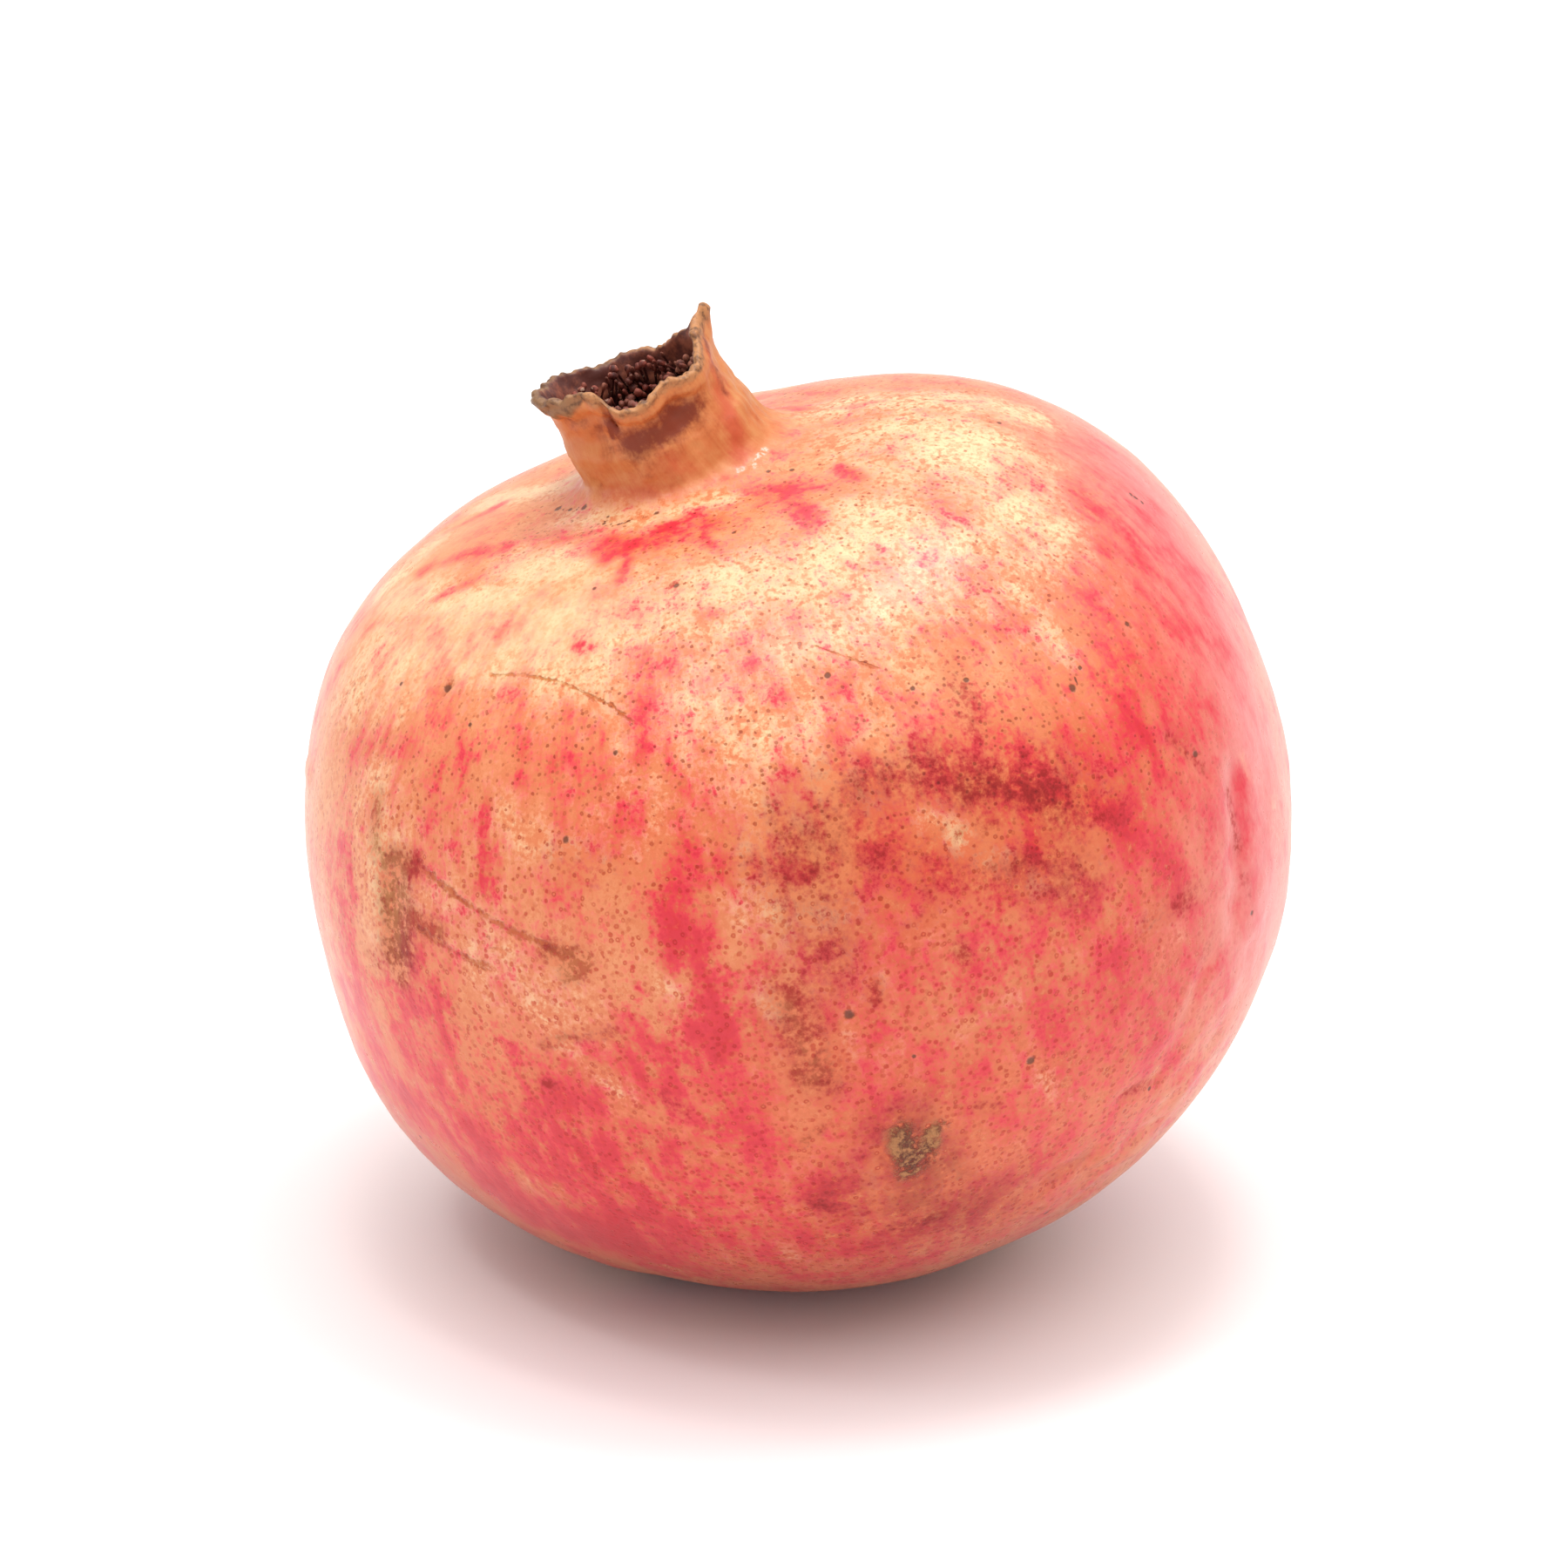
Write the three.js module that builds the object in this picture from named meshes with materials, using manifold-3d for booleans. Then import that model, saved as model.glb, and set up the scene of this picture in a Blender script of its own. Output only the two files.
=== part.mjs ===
// A whole pomegranate: its rind with the crown grown from it, and the dried stamens in the crown's cup.
// Millimetres, +Z up. The fruit stands on the plane z = 0, and the origin is the middle of the small
// flat spot that it rests on. Seen along +Y the crown leans to the left.

import * as THREE from 'three';
import { mergeVertices } from 'three/addons/utils/BufferGeometryUtils.js';
import Module from 'manifold-3d';

const wasm = await Module();
wasm.setup();

// Driving dimensions of the body: a superellipse turned about the fruit's own axis, widest above its middle
const EQUATOR_RADIUS = 46.5;
const CROWN_HALF = 38.1;
const STEM_HALF = 45.1;
const ROUNDNESS = 2.22;
const CROWN_BOWL = { depth: 3.0, spread: 17 };
const STEM_PIT = { depth: 1.8, spread: 7 };
const LOBES = { count: 6, height: 0.3, turn: 30 };

// Broad swells and hollows of the body. Turn goes from 0 at the right, past 90 at the back, to 180 at the
// left; latitude goes from -90 at the stem end to 90 at the crown; size is in millimetres, spread in degrees.
const SWELLS = [
  { turn: 0, latitude: 48, size: 1.2, spread: 24 },
  { turn: 0, latitude: 15, size: -0.9, spread: 22 },
  { turn: 0, latitude: -12, size: 0.8, spread: 22 },
  { turn: 0, latitude: -45, size: -0.8, spread: 24 },
  { turn: 0, latitude: -76, size: 1.2, spread: 22 },
  { turn: 90, latitude: 45, size: -1.2, spread: 28 },
  { turn: 180, latitude: 40, size: 1.5, spread: 24 },
  { turn: 180, latitude: -25, size: 3.2, spread: 26 },
  { turn: 180, latitude: -58, size: -1.4, spread: 24 },
];

// How the fruit stands: its axis leans to the left and a little forwards, and the skin is flattened at REST
const LEAN = 16;
const PITCH = 5;
const REST = { x: -2.4, y: -2.6, flattened: 0.75 };

// The crown: a neck that sweeps up from the body, a waist, and a tube with a torn rim round a cup
const NECK_FOOT_RADIUS = 15.5;
const NECK_FOOT_PULL = 6.0;
const NECK_WAIST_PULL = 4.2;
const WAIST_RADIUS = 8.8;
const WAIST_HEIGHT = 40.5;
const THROAT_NARROWING = 0.6;
const TUBE_WALL = 0.9;
const CUP_FLOOR_RADIUS = 4.6;
const CUP_FLOOR_HEIGHT = 37.0;
const CUP_WALL_PULL = 2.0;
const CUP_FLOOR_PULL = 1.8;
const CROWN_OFFSET = { x: -0.6, y: -0.2 };
const CROWN_BEND = 0.24;
const RIBS = { count: 6, height: 0.25, turn: 30 };

// The torn rim, going round the tube: how high it stands above the waist, and how far it flares out
const RIM = [
  { turn: -38, height: 5.4, flare: 0.5 },
  { turn: -27, height: 6.3, flare: 0.2 },
  { turn: -12, height: 7.3, flare: 0.0 },
  { turn: 5, height: 7.7, flare: 0.5 },
  { turn: 15, height: 8.3, flare: 1.7 },
  { turn: 26, height: 7.5, flare: 1.2 },
  { turn: 42, height: 6.0, flare: 0.5 },
  { turn: 60, height: 4.9, flare: 0.3 },
  { turn: 76, height: 4.2, flare: 0.3 },
  { turn: 98, height: 4.3, flare: 0.3 },
  { turn: 118, height: 4.0, flare: 0.3 },
  { turn: 130, height: 4.6, flare: 0.3 },
  { turn: 155, height: 5.0, flare: 0.3 },
  { turn: 180, height: 5.4, flare: 0.4 },
  { turn: 205, height: 6.0, flare: 0.8 },
  { turn: 228, height: 6.3, flare: 0.9 },
  { turn: 250, height: 6.6, flare: 0.5 },
  { turn: 262, height: 4.9, flare: 0.6 },
  { turn: 280, height: 4.6, flare: 0.7 },
  { turn: 296, height: 5.6, flare: 0.7 },
  { turn: 308, height: 5.4, flare: 0.6 },
];
const FLARE_SHARPNESS = 4;

// The dried stamens: a thin bed that lines the cup, and the withered filaments that rise from it
const BED_GAP = 0.45;
const BED_THICKNESS = 0.9;
const STAMEN_COUNT = 42;
const STAMEN_REACH = 0.9;
const STAMEN_LENGTH = { atMiddle: 1.6, moreAtWall: 2.6, spread: 0.8 };
const STAMEN_NOD = { least: 0.3, spread: 1.0 };
const STAMEN_TWIST = 40;
const STAMEN_STRAY = 14;
const GOLDEN_TURN = 137.508;
const FILAMENT_RADIUS = 0.36;
const FILAMENT_SIDES = 4;
const FILAMENT_STEPS = 4;
const ANTHER_RADIUS = 0.6;
const ANTHER_STRETCH = 1.4;
const STAMEN_SEED = 7;

// How finely the surfaces are divided
const COLUMNS = 72;
const BODY_ROWS = 26;
const NECK_ROWS = 7;
const WALL_ROWS = 5;
const LIP_ROWS = 2;
const CUP_ROWS = 4;
const FLOOR_ROWS = 2;
const BED_COLUMNS = 30;
const BED_ROWS = 4;

const DEGREE = Math.PI / 180;

const fruitMaterial = new THREE.MeshStandardMaterial({ color: 0xe07f63, roughness: 0.42, metalness: 0 });
const stamenMaterial = new THREE.MeshStandardMaterial({ color: 0x5b2a22, roughness: 0.85, metalness: 0 });

// Direction from the body's centre, by turn and latitude in degrees
function direction(turn, latitude) {
  const flat = Math.cos(latitude * DEGREE);
  const x = flat * Math.cos(turn * DEGREE);
  const y = flat * Math.sin(turn * DEGREE);
  return new THREE.Vector3(x, y, Math.sin(latitude * DEGREE));
}

// The turned outline of the body at an angle from -90 degrees at the stem end to 90 at the crown
function bodyOutline(angle) {
  const across = Math.abs(Math.cos(angle)) ** (2 / ROUNDNESS);
  const along = Math.abs(Math.sin(angle)) ** (2 / ROUNDNESS);
  const radius = EQUATOR_RADIUS * across;
  if (angle > 0) {
    const bowl = CROWN_BOWL.depth * Math.exp(-((radius / CROWN_BOWL.spread) ** 2));
    return new THREE.Vector2(radius, CROWN_HALF * along - bowl);
  }
  const pit = STEM_PIT.depth * Math.exp(-((radius / STEM_PIT.spread) ** 2));
  return new THREE.Vector2(radius, pit - STEM_HALF * along);
}

// One row of the profile. Wall goes from 0 on the body to 1 on the tube, rise from 0 at the waist to 1 at the
// rim, ribs is how strongly the ribs show, and lip is the height of the rounded edge above the rim.
function row(radius, height, { wall = 0, rise = 0, ribs = 0, lip = 0 } = {}) {
  return { radius, height, wall, rise, ribs, lip };
}

function bodyRows() {
  const end = Math.acos((NECK_FOOT_RADIUS / EQUATOR_RADIUS) ** (ROUNDNESS / 2));
  const rows = [];
  for (let k = 0; k <= BODY_ROWS; k += 1) {
    const point = bodyOutline(THREE.MathUtils.lerp(-Math.PI / 2, end, k / BODY_ROWS));
    rows.push(row(k === 0 ? 0 : point.x, point.y));
  }
  return rows;
}

function neckRows(foot, below) {
  const slope = new THREE.Vector2(foot.radius - below.radius, foot.height - below.height).normalize();
  const sweep = new THREE.CubicBezierCurve(
    new THREE.Vector2(foot.radius, foot.height),
    new THREE.Vector2(foot.radius, foot.height).addScaledVector(slope, NECK_FOOT_PULL),
    new THREE.Vector2(WAIST_RADIUS, WAIST_HEIGHT - NECK_WAIST_PULL),
    new THREE.Vector2(WAIST_RADIUS, WAIST_HEIGHT),
  );
  const rows = [];
  for (let k = 1; k <= NECK_ROWS; k += 1) {
    const share = k / NECK_ROWS;
    const point = sweep.getPoint(share);
    const wall = share * share * (3 - 2 * share);
    rows.push(row(point.x, point.y, { wall, ribs: wall }));
  }
  return rows;
}

// Up the outside of the tube, over its lip and down the inside to the waist again
function tubeRows() {
  const rows = [];
  for (let k = 1; k <= WALL_ROWS; k += 1) {
    rows.push(row(WAIST_RADIUS, WAIST_HEIGHT, { wall: 1, rise: k / WALL_ROWS, ribs: 1 }));
  }
  for (let k = 1; k <= LIP_ROWS; k += 1) {
    const angle = (Math.PI * k) / (LIP_ROWS + 1);
    const radius = WAIST_RADIUS - (TUBE_WALL / 2) * (1 - Math.cos(angle));
    const lip = (TUBE_WALL / 2) * Math.sin(angle);
    rows.push(row(radius, WAIST_HEIGHT, { wall: 1, rise: 1, ribs: 1, lip }));
  }
  for (let k = WALL_ROWS; k >= 0; k -= 1) {
    const rise = k / WALL_ROWS;
    rows.push(row(WAIST_RADIUS - TUBE_WALL, WAIST_HEIGHT, { wall: 1, rise, ribs: rise }));
  }
  return rows;
}

// The inside of the cup below the waist, drawn in by a margin: 0 for the cup itself
function cupOutline(margin) {
  const wallRadius = WAIST_RADIUS - TUBE_WALL - margin;
  const floorHeight = CUP_FLOOR_HEIGHT + margin;
  return new THREE.CubicBezierCurve(
    new THREE.Vector2(wallRadius, WAIST_HEIGHT),
    new THREE.Vector2(wallRadius, WAIST_HEIGHT - CUP_WALL_PULL),
    new THREE.Vector2(CUP_FLOOR_RADIUS + CUP_FLOOR_PULL - margin, floorHeight),
    new THREE.Vector2(CUP_FLOOR_RADIUS, floorHeight),
  );
}

function cupRows() {
  const rows = [];
  for (const point of cupOutline(0).getPoints(CUP_ROWS).slice(1)) {
    rows.push(row(point.x, point.y, { wall: 1 }));
  }
  for (let k = FLOOR_ROWS - 1; k >= 0; k -= 1) {
    rows.push(row((CUP_FLOOR_RADIUS * k) / FLOOR_ROWS, CUP_FLOOR_HEIGHT, { wall: 1 }));
  }
  return rows;
}

function fruitRows() {
  const body = bodyRows();
  return [...body, ...neckRows(body.at(-1), body.at(-2)), ...tubeRows(), ...cupRows()];
}

const NECK_FOOT_HEIGHT = bodyRows().at(-1).height;

// A smooth closed curve through the rim's stations: cubic between neighbours, with the slope at each station
// taken from the stations on its two sides
function rimValue(turn, name) {
  const count = RIM.length;
  const start = RIM[0].turn;
  const angle = start + ((((turn - start) % 360) + 360) % 360);
  let k = count - 1;
  while (RIM[k].turn > angle) {
    k -= 1;
  }
  const station = (index) => {
    const lap = Math.floor(index / count);
    const found = RIM[index - lap * count];
    return { turn: found.turn + 360 * lap, value: found[name] };
  };
  const [before, left, right, after] = [k - 1, k, k + 1, k + 2].map(station);
  const width = right.turn - left.turn;
  const slopeLeft = ((right.value - before.value) / (right.turn - before.turn)) * width;
  const slopeRight = ((after.value - left.value) / (after.turn - left.turn)) * width;
  const s = (angle - left.turn) / width;
  return left.value * (2 * s ** 3 - 3 * s ** 2 + 1)
    + slopeLeft * (s ** 3 - 2 * s ** 2 + s)
    + right.value * (3 * s ** 2 - 2 * s ** 3)
    + slopeRight * (s ** 3 - s ** 2);
}

// Pushes a point out from the body's centre by the swells that lie round it
function swell(point) {
  const outward = point.clone().normalize();
  let push = 0;
  for (const { turn, latitude, size, spread } of SWELLS) {
    const angle = outward.angleTo(direction(turn, latitude)) / DEGREE;
    push += size * Math.exp(-((angle / spread) ** 2));
  }
  return point.addScaledVector(outward, push);
}

// The fruit's own frame turned as it stands, then lowered so that the flat spot lies on the plane z = 0
const stanceTurn = new THREE.Matrix4()
  .makeRotationX(PITCH * DEGREE)
  .multiply(new THREE.Matrix4().makeRotationY(-LEAN * DEGREE));

function lowestPoint() {
  let lowest = Infinity;
  for (const { radius, height } of bodyRows()) {
    for (let turn = 0; turn < 360; turn += 5) {
      lowest = Math.min(lowest, bodyPoint(radius, height, turn).applyMatrix4(stanceTurn).z);
    }
  }
  return lowest;
}

// How far the body's soft lobes stand out, most at the widest level
function lobe(radius, turn) {
  return LOBES.height * (radius / EQUATOR_RADIUS) * Math.cos((turn - LOBES.turn) * LOBES.count * DEGREE);
}

// A point of the body, from its place on the turned outline
function bodyPoint(radius, height, turn) {
  const lobed = radius + lobe(radius, turn);
  const point = new THREE.Vector3(lobed * Math.cos(turn * DEGREE), lobed * Math.sin(turn * DEGREE), height);
  return swell(point);
}

const stance = new THREE.Matrix4()
  .makeTranslation(-REST.x, -REST.y, -lowestPoint() - REST.flattened)
  .multiply(stanceTurn);

// A point of the crown, which stands off the fruit's axis and bends to the left as it rises
function crownPoint(radius, height, turn, wall = 1) {
  const lift = Math.max(0, height - NECK_FOOT_HEIGHT) * wall;
  const x = radius * Math.cos(turn * DEGREE) + CROWN_OFFSET.x * wall - CROWN_BEND * lift;
  const y = radius * Math.sin(turn * DEGREE) + CROWN_OFFSET.y * wall;
  return swell(new THREE.Vector3(x, y, height));
}

// Where a row of the profile lies at one turn
function fruitPoint({ radius, height, wall, rise, ribs, lip }, turn) {
  if (wall === 0) {
    return bodyPoint(radius, height, turn);
  }
  const rib = RIBS.height * ribs * Math.cos((turn - RIBS.turn) * RIBS.count * DEGREE);
  const throat = THROAT_NARROWING * Math.sin(Math.min(rise * 2, 1) * 90 * DEGREE);
  const flare = rimValue(turn, 'flare') * rise ** FLARE_SHARPNESS;
  const top = height + rimValue(turn, 'height') * rise + lip;
  return crownPoint(radius + (1 - wall) * lobe(radius, turn) + rib - throat + flare, top, turn, wall);
}

// Turns rows of a profile about the axis and moves each vertex to its place on the fruit
function turnedGeometry(rows, columns, place) {
  const outline = rows.map(({ radius, height }) => new THREE.Vector2(radius, height));
  const geometry = new THREE.LatheGeometry(outline, columns);
  const position = geometry.getAttribute('position');
  for (let column = 0; column <= columns; column += 1) {
    const turn = ((column % columns) * 360) / columns - 90;
    rows.forEach((each, k) => {
      const point = place(each, turn).applyMatrix4(stance);
      position.setXYZ(column * rows.length + k, point.x, point.y, point.z);
    });
  }
  return geometry;
}

function toSolid(geometry) {
  const bare = geometry.clone();
  bare.deleteAttribute('normal');
  bare.deleteAttribute('uv');
  const merged = mergeVertices(bare, 1e-4);
  const vertProperties = new Float32Array(merged.getAttribute('position').array);
  const corners = merged.index.array;
  const triVerts = [];
  for (let k = 0; k < corners.length; k += 3) {
    const [a, b, c] = [corners[k], corners[k + 1], corners[k + 2]];
    if (a !== b && b !== c && c !== a) {
      triVerts.push(a, b, c);
    }
  }
  const mesh = new wasm.Mesh({ numProp: 3, vertProperties, triVerts: new Uint32Array(triVerts) });
  return new wasm.Manifold(mesh);
}

// Joining many small pieces can seal a hollow between them: only the outer skin is kept
function withoutSealedHollows(solid) {
  const skins = solid.decompose();
  return skins.reduce((largest, skin) => (skin.volume() > largest.volume() ? skin : largest));
}

function toGeometry(solid) {
  const mesh = solid.getMesh();
  const geometry = new THREE.BufferGeometry();
  geometry.setAttribute('position', new THREE.BufferAttribute(new Float32Array(mesh.vertProperties), 3));
  geometry.setIndex(new THREE.BufferAttribute(new Uint32Array(mesh.triVerts), 1));
  geometry.computeVertexNormals();
  return geometry;
}

// The block below the plane z = 0, which flattens the skin where the fruit rests
function restingBlock() {
  const side = 4 * EQUATOR_RADIUS;
  return new THREE.BoxGeometry(side, side, side).translate(0, 0, -side / 2);
}

function makeFruit() {
  const whole = toSolid(turnedGeometry(fruitRows(), COLUMNS, fruitPoint));
  const resting = whole.subtract(toSolid(restingBlock()));
  const fruit = new THREE.Mesh(toGeometry(resting), fruitMaterial);
  fruit.name = 'fruit';
  return fruit;
}

// Repeatable numbers from 0 to 1
function makeRandom(seed) {
  let state = seed;
  return () => {
    state = (state * 1664525 + 1013904223) % 4294967296;
    return state / 4294967296;
  };
}

function bedGeometry() {
  const under = cupOutline(BED_GAP).getPoints(BED_ROWS).reverse();
  const over = cupOutline(BED_GAP + BED_THICKNESS).getPoints(BED_ROWS);
  const middle = [under[0], over.at(-1)].map(({ y }) => new THREE.Vector2(0, y));
  const outline = [middle[0], ...under, ...over, middle[1]];
  const rows = outline.map(({ x, y }) => row(x, y));
  return turnedGeometry(rows, BED_COLUMNS, ({ radius, height }, turn) => crownPoint(radius, height, turn));
}

// Through the middle of the bed's thickness, from the axis over the floor and up the cup's wall
function bedPath() {
  const margin = BED_GAP + BED_THICKNESS / 2;
  const wall = cupOutline(margin).getPoints(8).reverse();
  const path = new THREE.CurvePath();
  path.add(new THREE.LineCurve(new THREE.Vector2(0, CUP_FLOOR_HEIGHT + margin), wall[0]));
  for (let k = 1; k < wall.length; k += 1) {
    path.add(new THREE.LineCurve(wall[k - 1], wall[k]));
  }
  return path;
}

// The line a withered stamen follows: rooted in the bed, it rises and leans in towards the middle
function filamentRoute(root, turn, random) {
  const twist = (random() - 0.5) * STAMEN_TWIST;
  const length = STAMEN_LENGTH.atMiddle + (root.x / WAIST_RADIUS) * STAMEN_LENGTH.moreAtWall
    + random() * STAMEN_LENGTH.spread;
  const nod = STAMEN_NOD.least + random() * STAMEN_NOD.spread;
  return new THREE.CatmullRomCurve3([
    crownPoint(root.x, root.y, turn),
    crownPoint(root.x * 0.92 - 0.25 * nod, root.y + length * 0.45, turn + twist * 0.3),
    crownPoint(root.x * 0.86 - 0.6 * nod, root.y + length * 0.85, turn + twist * 0.7),
    crownPoint(Math.max(0.5, root.x * 0.82 - 1.2 * nod), root.y + length, turn + twist),
  ]);
}

function filamentSection() {
  const corners = [];
  for (let k = 0; k < FILAMENT_SIDES; k += 1) {
    const angle = (2 * Math.PI * k) / FILAMENT_SIDES;
    corners.push(new THREE.Vector2(FILAMENT_RADIUS * Math.cos(angle), FILAMENT_RADIUS * Math.sin(angle)));
  }
  return new THREE.Shape(corners);
}

function stamenGeometries(index, root, random) {
  const turn = index * GOLDEN_TURN + random() * STAMEN_STRAY;
  const route = filamentRoute(root, turn, random);
  const extrusion = { steps: FILAMENT_STEPS, extrudePath: route };
  const filament = new THREE.ExtrudeGeometry(filamentSection(), extrusion);
  const anther = new THREE.OctahedronGeometry(ANTHER_RADIUS);
  anther.scale(1, 1, ANTHER_STRETCH);
  anther.rotateX(random() * Math.PI);
  anther.rotateZ(random() * Math.PI);
  anther.translate(...route.getPoint(1).toArray());
  return [filament.applyMatrix4(stance), anther.applyMatrix4(stance)];
}

function makeStamens() {
  const random = makeRandom(STAMEN_SEED);
  const path = bedPath();
  let solid = toSolid(bedGeometry());
  for (let index = 0; index < STAMEN_COUNT; index += 1) {
    const root = path.getPoint(STAMEN_REACH * Math.sqrt((index + 0.5) / STAMEN_COUNT));
    for (const geometry of stamenGeometries(index, root, random)) {
      solid = solid.add(toSolid(geometry));
    }
  }
  const stamens = new THREE.Mesh(toGeometry(withoutSealedHollows(solid)), stamenMaterial);
  stamens.name = 'dried_stamens';
  return stamens;
}

const pomegranate = new THREE.Group();
pomegranate.add(makeFruit(), makeStamens());

export default pomegranate;
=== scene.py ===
# %% [markdown]
# # A pomegranate
# The fruit is one grown body: a leathery rind, drawn up at the top into a short crown with a torn rim. In the
# crown's cup stand the withered stamens. The imported CAD model gives both in plain form, at their real size.
# Here each gets a fine mesh of the same form, the marks that its life has left on it, and a finish.

# %% Load the frame
import math

import bpy
import numpy as np
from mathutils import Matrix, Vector
from mathutils.bvhtree import BVHTree


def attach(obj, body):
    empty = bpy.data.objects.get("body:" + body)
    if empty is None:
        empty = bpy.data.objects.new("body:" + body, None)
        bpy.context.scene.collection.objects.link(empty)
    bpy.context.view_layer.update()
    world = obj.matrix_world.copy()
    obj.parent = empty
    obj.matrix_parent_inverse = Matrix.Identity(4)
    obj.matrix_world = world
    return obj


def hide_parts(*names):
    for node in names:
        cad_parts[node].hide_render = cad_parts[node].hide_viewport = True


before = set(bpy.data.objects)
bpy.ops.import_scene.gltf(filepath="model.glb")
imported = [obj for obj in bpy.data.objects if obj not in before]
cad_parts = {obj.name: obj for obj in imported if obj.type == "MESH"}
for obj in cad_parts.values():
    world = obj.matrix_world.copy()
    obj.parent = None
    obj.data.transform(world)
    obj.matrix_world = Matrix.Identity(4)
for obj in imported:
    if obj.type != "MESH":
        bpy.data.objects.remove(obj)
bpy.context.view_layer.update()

# %% [markdown]
# ## The form in numbers
# A pomegranate is a ball of revolution that growth has pushed out of shape. Sculpting it by hand would work, but
# a formula can be repeated: the outline is a superellipse turned about the fruit's axis, six soft lobes go round
# it, and a few broad swells and hollows push it out and in. These are the dimensions of the CAD model, in
# millimetres and degrees, so that the fine mesh lies where the plain one does.

# %% Dimensions of the body
MM = 0.001

EQUATOR_RADIUS = 46.5
CROWN_HALF = 38.1
STEM_HALF = 45.1
ROUNDNESS = 2.22
CROWN_BOWL = {"depth": 3.0, "spread": 17.0}
STEM_PIT = {"depth": 1.8, "spread": 7.0}
LOBES = {"count": 6, "height": 0.3, "turn": 30.0}

# Turn, latitude, size and spread of each swell or hollow. Turn 0 is the right, 90 the back, 180 the left.
SWELLS = [
    (0, 48, 1.2, 24), (0, 15, -0.9, 22), (0, -12, 0.8, 22), (0, -45, -0.8, 24), (0, -76, 1.2, 22),
    (90, 45, -1.2, 28), (180, 40, 1.5, 24), (180, -25, 3.2, 26), (180, -58, -1.4, 24),
]

LEAN = 16.0
PITCH = 5.0
REST = {"x": -2.4, "y": -2.6, "flattened": 0.75}

print("the body is", CROWN_HALF + STEM_HALF, "mm long before its swells,", len(SWELLS), "in number")

# %% Dimensions of the crown
NECK_FOOT_RADIUS = 15.5
NECK_FOOT_PULL = 6.0
NECK_WAIST_PULL = 4.2
WAIST_RADIUS = 8.8
WAIST_HEIGHT = 40.5
THROAT_NARROWING = 0.6
TUBE_WALL = 0.9
CUP_FLOOR_RADIUS = 4.6
CUP_FLOOR_HEIGHT = 37.0
CUP_WALL_PULL = 2.0
CUP_FLOOR_PULL = 1.8
CROWN_OFFSET = {"x": -0.6, "y": -0.2}
CROWN_BEND = 0.24
RIBS = {"count": 6, "height": 0.25, "turn": 30.0}
FLARE_SHARPNESS = 4

# Going round the torn rim: turn, height above the waist, flare
RIM = np.array([
    (-38, 5.4, 0.5), (-27, 6.3, 0.2), (-12, 7.3, 0.0), (5, 7.7, 0.5), (15, 8.3, 1.7), (26, 7.5, 1.2),
    (42, 6.0, 0.5), (60, 4.9, 0.3), (76, 4.2, 0.3), (98, 4.3, 0.3), (118, 4.0, 0.3), (130, 4.6, 0.3),
    (155, 5.0, 0.3), (180, 5.4, 0.4), (205, 6.0, 0.8), (228, 6.3, 0.9), (250, 6.6, 0.5), (262, 4.9, 0.6),
    (280, 4.6, 0.7), (296, 5.6, 0.7), (308, 5.4, 0.6),
])
print("stations round the rim:", len(RIM))

# %% [markdown]
# ## The profile
# The whole skin is one strip of rows, from the stem end over the body, up the neck and the tube, over the lip
# and down into the cup. Each row knows its radius and height on the turned outline, and how far it belongs to
# the tube's wall. A lathe in Blender could turn the same outline, but it could not then bend each row by its own
# amount, so the rows stay numbers until the end.

# %% Curves that every step needs


def smoothstep(low, high, value):
    """0 below low, 1 above high, and a soft S between them."""
    share = np.clip((value - low) / (high - low), 0.0, 1.0)
    return share * share * (3 - 2 * share)


def bell(value):
    """1 at zero, falling off on both sides: e to the power of minus the square."""
    return np.exp(-(value**2))


def cosine(degrees):
    """The cosine of an angle in degrees."""
    return np.cos(np.radians(degrees))


def sine(degrees):
    """The sine of an angle in degrees."""
    return np.sin(np.radians(degrees))


print("halfway: a smoothstep is", float(smoothstep(0, 1, 0.5)), "and a bell is", round(float(bell(0.5)), 2))

# %% Outlines of the body and the cup


def body_outline(angle):
    """Radius and height of the superellipse: powers of the cosine and the sine of one angle, with a bowl at the
    crown and a pit at the stem end, each a bell curve over the radius."""
    radius = EQUATOR_RADIUS * np.abs(np.cos(angle)) ** (2 / ROUNDNESS)
    along = np.abs(np.sin(angle)) ** (2 / ROUNDNESS)
    bowl = CROWN_BOWL["depth"] * bell(radius / CROWN_BOWL["spread"])
    pit = STEM_PIT["depth"] * bell(radius / STEM_PIT["spread"])
    height = np.where(angle > 0, CROWN_HALF * along - bowl, pit - STEM_HALF * along)
    return np.stack([radius, height], -1)


def bezier(corners, share):
    """The cubic curve of four corners: each corner weighted by its share of the way."""
    a, b, c, d = (np.asarray(corner, float) for corner in corners)
    s = np.asarray(share, float)[:, None]
    return a * (1 - s) ** 3 + b * 3 * s * (1 - s) ** 2 + c * 3 * s * s * (1 - s) + d * s**3


def evenly(outline, count):
    """The same line with its points at equal steps of length."""
    steps = np.linalg.norm(np.diff(outline, axis=0), axis=1)
    travelled = np.concatenate([[0.0], np.cumsum(steps)])
    wanted = np.linspace(0.0, travelled[-1], count)
    return np.stack([np.interp(wanted, travelled, outline[:, k]) for k in (0, 1)], -1)


def cup_outline(margin, share):
    """The inside of the cup below the waist, drawn in by a margin, from the wall to the floor."""
    wall = WAIST_RADIUS - TUBE_WALL - margin
    floor = CUP_FLOOR_HEIGHT + margin
    pulls = [(wall, WAIST_HEIGHT - CUP_WALL_PULL), (CUP_FLOOR_RADIUS + CUP_FLOOR_PULL - margin, floor)]
    return bezier([(wall, WAIST_HEIGHT), *pulls, (CUP_FLOOR_RADIUS, floor)], share)


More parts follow.
